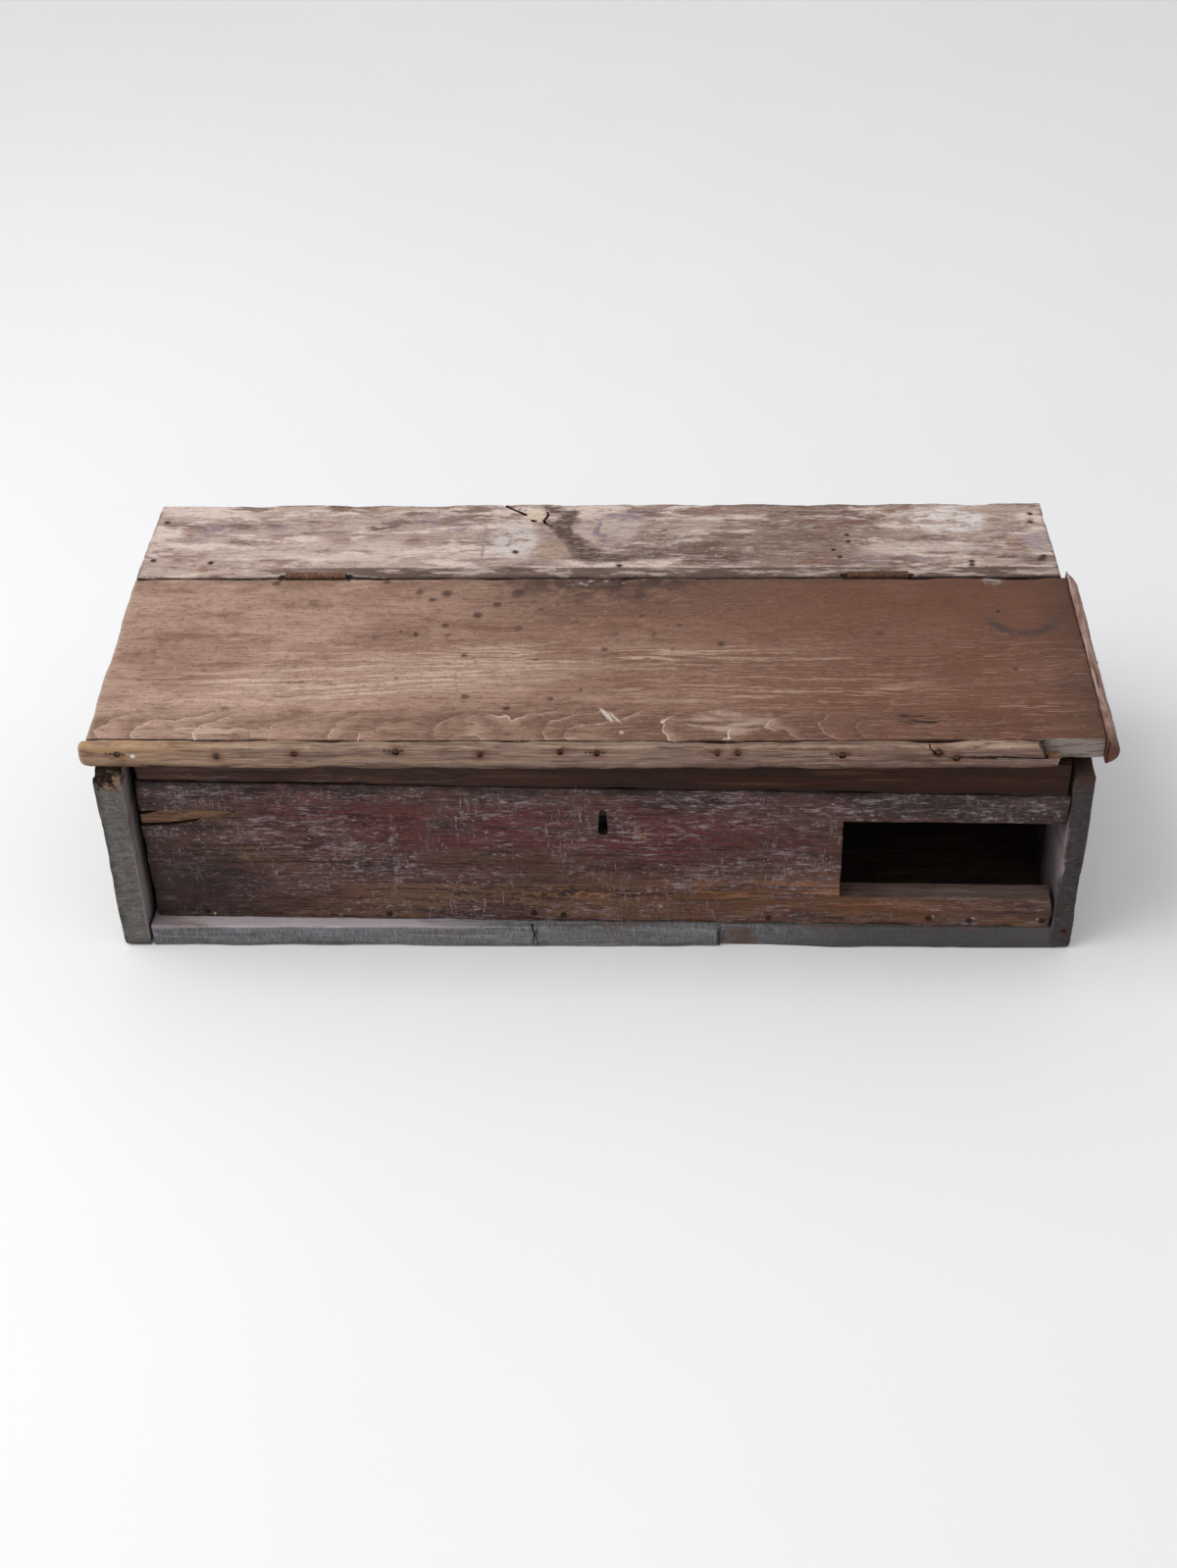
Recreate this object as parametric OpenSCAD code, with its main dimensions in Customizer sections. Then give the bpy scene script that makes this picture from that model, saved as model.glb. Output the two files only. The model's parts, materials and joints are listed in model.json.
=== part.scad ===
// Weathered slant-lid storage chest: a nailed board box with a fixed rear top board,
// a hinged sloping lid with a front lip, and a front panel with a lock and a cut-out.

/* [Carcass] */
// Width over the two ends
carcass_w = 914; // [760:1:1060]
// Depth from the ends' front edges to the back face
carcass_d = 395; // [340:1:450]
// Height to the top of the rear board
carcass_h = 264; // [250:1:285]
// Thickness of the left end
left_end_t = 26; // [20:0.5:30]
// Thickness of the right end
right_end_t = 20; // [18:0.5:28]
// Height of the ends' front edges
end_front_h = 204; // [192:1:212]
// Radius of the rotted bite out of the left end's front corner
rot_bite_r = 12; // [6:0.5:16]
// Thickness of the bottom board
bottom_t = 25; // [20:0.5:30]
// Gap between the bottom board and the left end
bottom_gap = 3; // [0.5:0.5:4]
// Distance from the middle to the chip in the bottom board's front edge
chip_x = 113; // [60:1:200]
// Length of that chip
chip_len = 62; // [30:1:90]
// Depth of that chip
chip_d = 4; // [1:0.5:8]
// Thickness of the back board
back_t = 20; // [16:0.5:25]

/* [Rear top board] */
// Depth of the fixed board behind the lid
rear_board_d = 145; // [125:1:165]
// Thickness of that board
rear_board_t = 22; // [18:0.5:26]
// Width of the rail under its front edge
rail_w = 40; // [30:1:50]
// Height of that rail
rail_h = 22; // [18:1:30]
// Distance from the board's front edge to the rail
rail_set = 4; // [2:0.5:8]

/* [Lid] */
// Thickness of the lid board
lid_t = 22; // [18:0.5:26]
// Height of the lid's top front edge
lid_front_h = 244.5; // [240:0.5:256]
// Distance from the ends' front edges back to the lid's front edge
lid_front_inset = 4; // [0:0.5:8]
// Overhang of the lid past the left end
lid_over_left = 0; // [0:0.5:6]
// Overhang of the lid past the right end
lid_over_right = 5; // [3:0.5:10]
// Gap between the lid's rear edge and the rear board
lid_rear_gap = 0.8; // [0.5:0.1:2]
// Thickness of the moulding on the lid's front edge
moulding_t = 10; // [7:0.5:14]
// Height of that moulding
moulding_h = 26; // [22:0.5:30]
// Radius of the moulding's rounded front edges
moulding_r = 4; // [2:0.5:5]
// Overhang of the moulding past the lid's left edge
moulding_over = 7; // [2:0.5:12]
// Length of moulding lost from its right end
moulding_lost = 40; // [20:1:80]
// Extra length lost from the moulding's upper half
break_len = 16; // [6:1:30]
// Thickness of the half-round cleat on the lid's right edge
end_cleat_t = 12; // [9:0.5:13]
// Height of that cleat
end_cleat_h = 28; // [26:0.5:32]
// How far the cleat stands above the lid's top
end_cleat_proud = 1.5; // [0.5:0.5:4]
// How far the cleat runs past the lid's front edge
end_cleat_front = 4; // [1:0.5:10]
// How far the cleat runs past the lid's rear edge
end_cleat_rear = 9; // [4:0.5:12]

/* [Front panel] */
// Thickness of the front panel
panel_t = 22; // [20:0.5:25]
// Height of the panel's left end
panel_h_left = 163; // [150:0.5:166]
// Height of the panel's right end
panel_h_right = 157; // [150:0.5:166]
// Setback of the panel at its left end
panel_recess_left = 15; // [4:0.5:22]
// Setback of the panel at its right end
panel_recess_right = 1; // [0:0.5:6]
// Gap between the panel and the left end
panel_gap_left = 7.5; // [3:0.5:12]
// Gap between the panel and the right end
panel_gap_right = 1; // [1:0.5:4]
// Width of the cut-out at the panel's right end
window_w = 204; // [120:1:260]
// Height of the rail left under the cut-out
sill_h = 34.5; // [26:0.5:45]
// Height of the cut-out
window_h = 91; // [60:1:100]
// Length of the splintered loss at the panel's left end
splinter_len = 97; // [50:1:140]
// Height of that loss
splinter_h = 17; // [8:0.5:26]
// Depth of that loss
splinter_d = 2.5; // [1:0.5:6]
// Height of that loss above the panel's foot
splinter_z = 110; // [90:1:125]
// Depth of the floor cleat behind the panel
floor_cleat_d = 20; // [15:0.5:26]
// Height of the floor cleat
floor_cleat_h = 18; // [14:0.5:22]

/* [Lip under the lid] */
// Thickness of the lip
lip_t = 22; // [20:0.5:25]
// Parting gap over the panel at the lip's left end
lip_gap_left = 1.8; // [0.3:0.1:2.5]
// Parting gap over the panel at the lip's right end
lip_gap_right = 0.4; // [0.3:0.1:2.5]
// How far the lip's left end stops short of the panel's
lip_in_left = 2.5; // [0:0.5:8]
// How far the lip's right end stops short of the panel's
lip_in_right = 3; // [0:0.5:8]

/* [Hinges] */
// Distance from each end of the chest to a hinge's centre
hinge_from_end = 179.5; // [130:0.5:260]
// Length of a hinge
hinge_len = 60; // [45:1:80]
// Diameter of the barrel
barrel_d = 8; // [6.5:0.25:9]
// Diameter of the hinge pin
pin_d = 3.2; // [2.4:0.1:4]
// Thickness of a leaf
leaf_t = 2; // [1.5:0.1:2.5]
// Height of a leaf
leaf_h = 19; // [15:0.5:20]
// Distance of the barrel's axis behind the rear board's front edge
barrel_set = 3; // [2:0.25:4]
// Knuckles in a barrel
knuckles = 5; // [3:2:7]

/* [Lock] */
// Distance of the keyhole from the middle
keyhole_x = 10; // [-60:1:60]
// Height of the keyhole's lower end
keyhole_z = 131; // [122:0.5:134]
// Length of the keyhole
keyhole_h = 23; // [18:0.5:26]
// Width of the keyhole
keyhole_w = 8; // [6:0.5:9]
// Width of its worn lower end
keyhole_foot_w = 9.5; // [8:0.5:11]
// Depth of the lock let into the panel's back
lock_d = 14.5; // [14:0.5:16]
// Thickness of the lock's metal
lock_wall = 1.5; // [1:0.1:2]
// Width of the lock plate
plate_w = 74; // [70:1:90]
// Width of the lock case
case_w = 52; // [48:1:56]
// Thickness of the bolt
bolt_t = 3.5; // [3:0.25:4]
// Height of the bolt's bar below its fingers
bolt_bar_h = 5; // [4:0.5:6]
// Height of the bolt's fingers
finger_h = 3.5; // [3:0.25:4]
// Width of the bolt's tail
bolt_tail_w = 16; // [12:1:18]
// Travel of the bolt
bolt_travel = 8; // [6:0.5:9]
// Diameter of the post that the key turns on
post_d = 3; // [2:0.25:4]
// Room between the post and the bolt for the key
key_throw = 10; // [8:0.5:12]
// Width of the link plate in the lip
link_w = 62; // [56:1:80]
// Setback of the link plate from the lip's front face
link_set = 8.5; // [6:0.5:10]
// Thickness of the link plate's staples
staple_t = 3; // [2.5:0.25:4]
// Width of the metal round a staple's eye
staple_rim = 1.2; // [1:0.1:1.6]

/* [Nails and screws] */
// Diameter of a nail
nail_d = 2.6; // [2:0.1:3.2]
// Diameter of a nail's head
nail_head_d = 5; // [4:0.25:6]
// Thickness of a nail's head
nail_head_h = 1.2; // [0.8:0.1:1.6]
// Length of the carcass nails
long_nail = 50; // [44:1:58]
// Length of the panel, moulding and cleat nails
short_nail = 33; // [28:1:36]
// Nails along the moulding
moulding_nails = 10; // [6:1:14]
// Nails along the front panel's foot
panel_nails = 6; // [4:1:8]
// Nails along the back board's foot
back_nails = 4; // [3:1:6]
// Nails along the end cleat
end_cleat_nails = 3; // [2:1:4]
// Diameter of a screw
screw_d = 3; // [2.4:0.1:3.4]
// Diameter of a screw's head
screw_head_d = 5.6; // [4.6:0.1:6.2]
// Length of the hinge screws
hinge_screw_len = 18; // [12:1:24]
// Length of the lock screws
lock_screw_len = 12; // [8:0.5:16]

/* [Fits] */
// Radial clearance of a turning knuckle on its pin
running_gap = 0.05; // [0.02:0.01:0.1]
// Radial clearance of a fixed knuckle on its pin
fixed_gap = 0.02; // [0.01:0.01:0.05]
// Clearance round a nail or screw
nail_gap = 0.05; // [0.02:0.01:0.15]
// Clearance round let-in metalwork
let_in_gap = 0.15; // [0.05:0.05:0.3]
// Clearance round the sliding bolt and between knuckles
slide_gap = 0.3; // [0.2:0.05:0.5]
// Clearance round the turning barrel
barrel_gap = 0.7; // [0.5:0.05:1]
// Clearance of the lid over the ends at the hinge line
seat_gap = 0.3; // [0.2:0.05:1]

/* [Hidden] */
$fn = 32;
// Overrun of a cut past the face it opens
cut = 1;

// Main planes, from the middle of the footprint on the floor
half_w = carcass_w / 2;
front_y = -carcass_d / 2;
back_y = carcass_d / 2;
end_d = carcass_d - back_t;
left_in_x = left_end_t - half_w;
right_in_x = half_w - right_end_t;
left_mid_x = left_end_t / 2 - half_w;
right_mid_x = half_w - right_end_t / 2;
rear_y = back_y - rear_board_d;
rear_z = carcass_h - rear_board_t;

// Lid plane and lid outline
lid_slope = atan2(carcass_h - lid_front_h, rear_y - front_y - lid_front_inset);
lid_rear_y = rear_y - lid_rear_gap - lid_t * sin(lid_slope);
lid_len = (lid_rear_y - front_y - lid_front_inset) / cos(lid_slope);
lid_left_x = -half_w - lid_over_left;
lid_right_x = half_w + lid_over_right;
lid_w = lid_right_x - lid_left_x;
lid_seat_h = carcass_h - lid_t * cos(lid_slope) - seat_gap;
function lid_under(y) = carcass_h - lid_t / cos(lid_slope) + (y - lid_rear_y) * tan(lid_slope);

// Moulding and cleat on the lid
moulding_left_x = lid_left_x - moulding_over;
moulding_right_x = lid_right_x - moulding_lost;
moulding_len = moulding_right_x - moulding_left_x;
moulding_first = 36;
moulding_last = 94;
moulding_nail_drop = 10.5;
moulding_step = (moulding_len - moulding_first - moulding_last) / (moulding_nails - 1);
end_cleat_len = lid_len + end_cleat_front + end_cleat_rear;
end_cleat_first = 32;
end_cleat_last = 28;
end_cleat_step = (lid_len - end_cleat_first - end_cleat_last) / (end_cleat_nails - 1);

// Hinge rail under the rear board
rail_y = rear_y + rail_set;
rail_mid_y = rail_y + rail_w / 2;
rail_z = rear_z - rail_h;

// Front panel, skewed in plan
panel_left_x = left_in_x + panel_gap_left;
panel_right_x = right_in_x - panel_gap_right;
panel_skew = atan2(panel_recess_left - panel_recess_right, panel_right_x - panel_left_x);
panel_len = (panel_right_x - panel_left_x) / cos(panel_skew);
panel_top_left = bottom_t + panel_h_left;
panel_top_right = bottom_t + panel_h_right;
function panel_top(x) = panel_top_left + (panel_top_right - panel_top_left) * x / panel_len;
function lip_gap(x) = lip_gap_left + (lip_gap_right - lip_gap_left) * x / panel_len;
function lip_foot(x) = panel_top(x) + lip_gap(x);
function panel_y(x) = front_y + panel_recess_left - x * sin(panel_skew);
lip_x0 = lip_in_left;
lip_x1 = panel_len - lip_in_right;
panel_nail_rise = 6.5;
panel_nail_z = bottom_t + panel_nail_rise;
panel_first = 48;
panel_last = 12;
panel_step = (panel_len - panel_first - panel_last) / (panel_nails - 1);
floor_cleat_x0 = 16;
floor_cleat_in = 4;
floor_cleat_x1 = panel_len - floor_cleat_in;

// Hinge barrel
barrel_r = barrel_d / 2;
hinge_x = half_w - hinge_from_end;
hinge_y = rear_y + barrel_set;
knuckle_len = hinge_len / knuckles;
web_run = hinge_y - lid_rear_y;
hinge_screw_step = hinge_len / 3;
hinge_screw_z = barrel_r + (leaf_h - barrel_r) / 2;

// Lock, in the panel's frame
lock_x = (keyhole_x - panel_left_x) / cos(panel_skew);
lock_sink = 0.4;
lock_top = panel_top(lock_x) - lock_sink;
post_z = keyhole_z + keyhole_h - keyhole_w / 2;
plate_below = 12;
plate_foot = keyhole_z - plate_below;
plate_y = panel_t - lock_wall;
case_below = 6;
case_foot = keyhole_z - case_below;
case_y = panel_t - lock_d;
plate_screw_x = (plate_w + case_w) / 4;
plate_screw_foot = 6;
plate_screw_top = 10;

// Bolt, in steps down from the lock's top flange, and the staples that its fingers enter
staple_gap = 2 * slide_gap;
eye_w = bolt_t + 2 * slide_gap;
staple_w = eye_w + 2 * staple_rim;
staple_y = plate_y - staple_gap - staple_w / 2;
finger_len = bolt_travel + slide_gap;
notch_w = finger_len + staple_t + 2 * staple_gap;
bolt_web = 3.6;
bolt_w = 2 * notch_w + 3 * bolt_web;
bolt_x = lock_x - (bolt_w + finger_len) / 2;
bolt_y = staple_y - bolt_t / 2;
bolt_top = lock_top - lock_wall - slide_gap;
finger_foot = bolt_top - finger_h;
eye_foot = finger_foot - staple_gap;
staple_foot = eye_foot - 1.5 * staple_rim;
notch_foot = staple_foot - staple_gap;
bar_foot = notch_foot - bolt_bar_h;
bolt_foot = post_z + key_throw;
tail_x = lock_x - bolt_x - bolt_travel / 2;
talon_r = bolt_tail_w / 3;
staple_x = (notch_w + bolt_web) / 2;
ledge_len = (case_w - bolt_tail_w - bolt_travel) / 2 - lock_wall - cut;
ledge_h = 2 * lock_wall;

// Link plate let into the lip's foot; its staples swing forwards as the lid lifts them
link_foot = lip_foot(lock_x) + slide_gap;
link_d = lip_t - link_set;
link_screw_in = 6;
link_screw_x = link_w / 2 - link_screw_in;
staple_lean = (carcass_h - staple_foot) / (hinge_y - panel_y(lock_x) - staple_y);
staple_swing = (lock_top - staple_foot) * staple_lean + staple_gap;

// Rows of nails
rail_nail_left = 70;
rail_nail_mid = 23;
rail_nail_right = 84;
rail_nail_x = [rail_nail_left - half_w, rail_nail_mid, half_w - rail_nail_right];
rail_nail_short = 10;
end_nail_front = 34;
end_nail_rear = 36;
end_top_y = [rear_y + end_nail_front, back_y - end_nail_rear];
bottom_nail_front = 45;
bottom_nail_rear = 60;
bottom_nail_y = [front_y + bottom_nail_front, 0, back_y - back_t - bottom_nail_rear];
back_nail_foot = 45;
back_nail_top = 67;
back_nail_step = (rear_z - back_nail_foot - back_nail_top) / 2;
lip_nail_in = 60;
lip_nail_x = [lip_nail_in, panel_len * 0.27, panel_len * 0.6, panel_len - lip_nail_in];
lip_nail_lean = 50;
lip_nail_drop = 12;
lip_nail_short = 6;

// Frame of the lid: origin on its top rear edge, y along the slope, z square to it
module on_lid() {
    translate([0, lid_rear_y, carcass_h]) rotate([lid_slope, 0, 0]) children();
}

// Frame of the front panel: x along it from its left end, y from its front face, z from the floor
module on_panel() {
    translate([panel_left_x, front_y + panel_recess_left, 0]) rotate([0, 0, -panel_skew]) children();
}

// Front view outline in x and z, drawn as a board that runs back from y = 0
module board_from_front(thickness) {
    translate([0, thickness, 0]) rotate([90, 0, 0]) linear_extrude(thickness) children();
}

// Nail with its head flush with z = 0, driven along -z; gap > 0 gives the hole for it
module nail(len, gap = 0) {
    over = gap > 0 ? cut : 0;
    translate([0, 0, -nail_head_h - gap]) cylinder(d = nail_head_d + 2 * gap, h = nail_head_h + gap + over);
    translate([0, 0, -len - gap]) cylinder(d = nail_d + 2 * gap, h = len);
}

// Countersunk screw with its head flush with z = 0, driven along -z
module screw(len, gap = 0) {
    head_h = (screw_head_d - screw_d) / 2;
    over = gap > 0 ? cut : 0;
    translate([0, 0, -head_h])
        cylinder(d1 = screw_d + 2 * gap, d2 = screw_head_d + 2 * gap, h = head_h);
    translate([0, 0, -len - gap]) cylinder(d = screw_d + 2 * gap, h = len);
    if (over > 0) cylinder(d = screw_head_d + 2 * gap, h = over);
}

// Rows of nails and screws, shared by the fasteners and by the holes they sit in
module rear_top_row(gap = 0) {
    for (x = [left_mid_x, right_mid_x], y = end_top_y)
        translate([x, y, carcass_h]) nail(long_nail, gap);
    for (x = rail_nail_x)
        translate([x, rail_mid_y, carcass_h]) nail(long_nail - rail_nail_short, gap);
}

module end_row(gap = 0) {
    for (y = bottom_nail_y) {
        translate([-half_w, y, bottom_t / 2]) rotate([0, -90, 0]) nail(long_nail, gap);
        translate([half_w, y, bottom_t / 2]) rotate([0, 90, 0]) nail(long_nail, gap);
    }
    translate([-half_w, rail_mid_y, rail_z + rail_h / 2]) rotate([0, -90, 0]) nail(long_nail, gap);
    translate([half_w, rail_mid_y, rail_z + rail_h / 2]) rotate([0, 90, 0]) nail(long_nail, gap);
}

module back_row(gap = 0) {
    for (x = [left_mid_x, right_mid_x], i = [0 : 2])
        translate([x, back_y, back_nail_foot + i * back_nail_step]) rotate([-90, 0, 0]) nail(long_nail, gap);
    for (i = [1 : back_nails])
        translate([i * carcass_w / (back_nails + 1) - half_w, back_y, bottom_t / 2])
            rotate([-90, 0, 0]) nail(long_nail, gap);
}

module front_panel_row(gap = 0) {
    on_panel()
        for (i = [0 : panel_nails - 1])
            translate([panel_first + i * panel_step, 0, panel_nail_z]) rotate([90, 0, 0]) nail(short_nail, gap);
}

// Nails down through the floor cleat, halfway between the panel's nails
module floor_cleat_row(gap = 0) {
    on_panel()
        for (i = [0 : panel_nails - 2])
            translate([panel_first + (i + 0.5) * panel_step, panel_t + floor_cleat_d / 2,
                       bottom_t + floor_cleat_h])
                nail(short_nail, gap);
}

module moulding_row(gap = 0) {
    on_lid()
        for (i = [0 : moulding_nails - 1])
            translate([moulding_left_x + moulding_first + i * moulding_step, -lid_len - moulding_t,
                       -moulding_nail_drop])
                rotate([90, 0, 0]) nail(short_nail, gap);
}

module end_cleat_row(gap = 0) {
    on_lid()
        for (i = [0 : end_cleat_nails - 1])
            translate([lid_right_x + end_cleat_t, end_cleat_first + i * end_cleat_step - lid_len,
                       end_cleat_proud - end_cleat_h / 2])
                rotate([0, 90, 0]) nail(short_nail, gap);
}

// Nails driven askew from the lip's back face up into the lid
module lip_row(gap = 0) {
    for (x = lip_nail_x)
        on_panel()
            translate([x, lip_t, lid_under(panel_y(x) + lip_t) - lip_nail_drop])
                rotate([-lip_nail_lean - 90, 0, 0]) translate([0, 0, nail_head_h / 2])
                    nail(short_nail - lip_nail_short, gap);
}

module hinge_rear_row(x, gap = 0) {
    for (i = [-1 : 1])
        translate([x + i * hinge_screw_step, rear_y, carcass_h - hinge_screw_z])
            rotate([90, 0, 0]) screw(hinge_screw_len, gap);
}

module hinge_lid_row(x, gap = 0) {
    on_lid()
        for (i = [-1 : 1])
            translate([x + i * hinge_screw_step, 0, -hinge_screw_z])
                rotate([-90, 0, 0]) screw(hinge_screw_len, gap);
}

module lock_row(gap = 0) {
    on_panel()
        for (i = [-1, 1], z = [plate_foot + plate_screw_foot, lock_top - plate_screw_top])
            translate([lock_x + i * plate_screw_x, panel_t, z]) rotate([-90, 0, 0]) screw(lock_screw_len, gap);
}

module link_row(gap = 0) {
    on_panel()
        for (i = [-1, 1])
            translate([lock_x + i * link_screw_x, link_set + link_d / 2, link_foot])
                rotate([180, 0, 0]) screw(lock_screw_len, gap);
}

// Side view of an end: level under the rear board, then falling to the front edge
module end_profile() {
    difference() {
        square([end_d, rear_z]);
        polygon([
            [-cut, end_front_h], [0, end_front_h], [rear_y - front_y, min(lid_seat_h, rear_z)],
            [rear_y - front_y, rear_z + cut], [-cut, rear_z + cut]
        ]);
    }
}

module end_board(x, thickness) {
    translate([x, front_y, 0]) rotate([90, 0, 90]) linear_extrude(thickness) end_profile();
}

module left_end() {
    color("slategray") difference() {
        end_board(-half_w, left_end_t);
        translate([-half_w - cut, front_y - rot_bite_r * 0.2, end_front_h + rot_bite_r * 0.15])
            rotate([0, 90, 0]) cylinder(r = rot_bite_r, h = left_end_t * 0.7 + cut);
        translate([left_mid_x, front_y - cut, end_front_h - rot_bite_r * 0.25])
            rotate([-90, 0, 0]) cylinder(r = rot_bite_r * 0.4, h = rot_bite_r * 1.6 + cut);
        rear_top_row(nail_gap);
        end_row(nail_gap);
        back_row(nail_gap);
    }
}

module right_end() {
    color("slategray") difference() {
        end_board(right_in_x, right_end_t);
        rear_top_row(nail_gap);
        end_row(nail_gap);
        back_row(nail_gap);
    }
}

module bottom_board() {
    color("dimgray") difference() {
        translate([left_in_x + bottom_gap, front_y, 0])
            cube([right_in_x - left_in_x - bottom_gap, end_d, bottom_t]);
        translate([chip_x, front_y, -cut]) linear_extrude(bottom_t + 2 * cut)
            polygon([[0, -cut], [0, 0], [chip_d * 2, chip_d], [chip_len, 0], [chip_len, -cut]]);
        end_row(nail_gap);
        back_row(nail_gap);
        floor_cleat_row(nail_gap);
    }
}

module back_board() {
    color("tan") difference() {
        translate([-half_w, back_y - back_t, 0]) cube([carcass_w, back_t, rear_z]);
        back_row(nail_gap);
    }
}

// Room for a barrel and its rear leaf in the rear board's front edge
module hinge_notch(x) {
    translate([x - hinge_len / 2 - barrel_gap, rear_y - cut, carcass_h - barrel_r - barrel_gap])
        cube([hinge_len + 2 * barrel_gap, barrel_set + barrel_r + barrel_gap + cut, barrel_d]);
    translate([x - hinge_len / 2 - let_in_gap, rear_y - cut, carcass_h - leaf_h - let_in_gap])
        cube([hinge_len + 2 * let_in_gap, leaf_t + let_in_gap + cut, leaf_h]);
}

module rear_top_board() {
    color("burlywood") difference() {
        translate([-half_w, rear_y, rear_z]) cube([carcass_w, rear_board_d, rear_board_t]);
        for (x = [-hinge_x, hinge_x]) {
            hinge_notch(x);
            hinge_rear_row(x, nail_gap);
        }
        rear_top_row(nail_gap);
    }
}

module hinge_rail() {
    color("tan") difference() {
        translate([left_in_x, rail_y, rail_z]) cube([right_in_x - left_in_x, rail_w, rail_h]);
        rear_top_row(nail_gap);
        end_row(nail_gap);
    }
}

// Keyhole outline: a slot with a wider, worn foot
module keyhole_outline() {
    translate([lock_x, post_z]) circle(d = keyhole_w);
    translate([lock_x - keyhole_w / 2, keyhole_z + keyhole_foot_w / 2])
        square([keyhole_w, post_z - keyhole_z - keyhole_foot_w / 2]);
    translate([lock_x, keyhole_z + keyhole_foot_w / 2]) circle(d = keyhole_foot_w);
}

// Room for the lock in the panel's back and top edge
module lock_pocket() {
    translate([lock_x - plate_w / 2 - let_in_gap, panel_t - lock_wall - let_in_gap, plate_foot - let_in_gap])
        cube([plate_w + 2 * let_in_gap, lock_wall + let_in_gap + cut, panel_top_left - plate_foot + cut]);
    translate([lock_x - case_w / 2 - let_in_gap, case_y - let_in_gap, case_foot - let_in_gap])
        cube([case_w + 2 * let_in_gap, lock_d + cut, panel_top_left - case_foot + cut]);
    translate([lock_x - plate_w / 2 - let_in_gap, case_y - let_in_gap, lock_top - lock_wall - let_in_gap])
        cube([plate_w + 2 * let_in_gap, lock_d + cut, lock_wall + panel_t]);
}

module front_panel() {
    color("#5a4040") difference() {
        on_panel() difference() {
            board_from_front(panel_t) difference() {
                polygon([
                    [0, bottom_t], [panel_len, bottom_t], [panel_len, panel_top_right], [0, panel_top_left]
                ]);
                translate([panel_len - window_w, bottom_t + sill_h]) square([window_w + cut, window_h]);
                keyhole_outline();
            }
            translate([0, -cut, 0]) board_from_front(splinter_d + cut) polygon([
                [-cut, bottom_t + splinter_z], [splinter_len, bottom_t + splinter_z + splinter_h * 1.1],
                [-cut, bottom_t + splinter_z + splinter_h]
            ]);
            lock_pocket();
        }
        front_panel_row(nail_gap);
        lock_row(nail_gap);
    }
}

module floor_cleat() {
    color("tan") difference() {
        on_panel() translate([floor_cleat_x0, panel_t, bottom_t])
            cube([floor_cleat_x1 - floor_cleat_x0, floor_cleat_d, floor_cleat_h]);
        front_panel_row(nail_gap);
        floor_cleat_row(nail_gap);
    }
}

// Room for a lid leaf in the lid's rear edge
module lid_leaf_recess(x) {
    translate([x - hinge_len / 2 - let_in_gap, -leaf_t - let_in_gap, -leaf_h - let_in_gap])
        cube([hinge_len + 2 * let_in_gap, leaf_t + let_in_gap + cut, leaf_h + let_in_gap + cut]);
}

module lid_board() {
    color("sienna") difference() {
        on_lid() difference() {
            translate([lid_left_x, -lid_len, -lid_t]) cube([lid_w, lid_len, lid_t]);
            for (x = [-hinge_x, hinge_x]) lid_leaf_recess(x);
        }
        for (x = [-hinge_x, hinge_x]) hinge_lid_row(x, nail_gap);
        moulding_row(nail_gap);
        end_cleat_row(nail_gap);
        lip_row(nail_gap);
    }
}

// Lip in line with the front panel, cut to the lid's underside and rebated behind the moulding
module lid_lip() {
    color("#4a352b") difference() {
        on_panel() difference() {
            board_from_front(lip_t) polygon([
                [lip_x0, lip_foot(lip_x0)], [lip_x1, lip_foot(lip_x1)],
                [lip_x1, carcass_h], [lip_x0, carcass_h]
            ]);
            translate([lock_x - link_w / 2 - let_in_gap, link_set - let_in_gap, link_foot - lip_t])
                cube([link_w + 2 * let_in_gap, link_d + let_in_gap + cut, lip_t + lock_wall + let_in_gap]);
        }
        on_lid() translate([lid_left_x - cut, -lid_len * 2, -lid_t])
            cube([lid_w + 2 * cut, lid_len * 2, carcass_h]);
        on_lid() translate([lid_left_x - cut, -lid_len * 2, -moulding_h - slide_gap])
            cube([lid_w + 2 * cut, lid_len + slide_gap, carcass_h]);
        link_row(nail_gap);
        lip_row(nail_gap);
    }
}

// Moulding section: front edges rounded, flat against the lid
module moulding_section() {
    translate([moulding_r, 0]) square([moulding_t - moulding_r, moulding_h]);
    translate([0, moulding_r]) square([moulding_t, moulding_h - 2 * moulding_r]);
    for (z = [moulding_r, moulding_h - moulding_r]) translate([moulding_r, z]) circle(r = moulding_r);
}

// Front view of the moulding: round left end, right end split and broken
module moulding_front() {
    end_r = moulding_h * 0.35;
    difference() {
        union() {
            translate([end_r, 0]) square([moulding_len - end_r, moulding_h]);
            translate([0, end_r]) square([end_r + cut, moulding_h - 2 * end_r]);
            for (z = [end_r, moulding_h - end_r]) translate([end_r, z]) circle(r = end_r);
        }
        polygon([
            [moulding_len - break_len, moulding_h * 0.55], [moulding_len + cut, moulding_h * 0.5],
            [moulding_len + cut, moulding_h + cut], [moulding_len - break_len * 1.8, moulding_h + cut]
        ]);
    }
}

module lid_moulding() {
    color("peru") difference() {
        on_lid() translate([moulding_left_x, -lid_len - moulding_t, -moulding_h]) intersection() {
            rotate([90, 0, 90]) linear_extrude(moulding_len) moulding_section();
            board_from_front(moulding_t) moulding_front();
        }
        moulding_row(nail_gap);
    }
}

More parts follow.
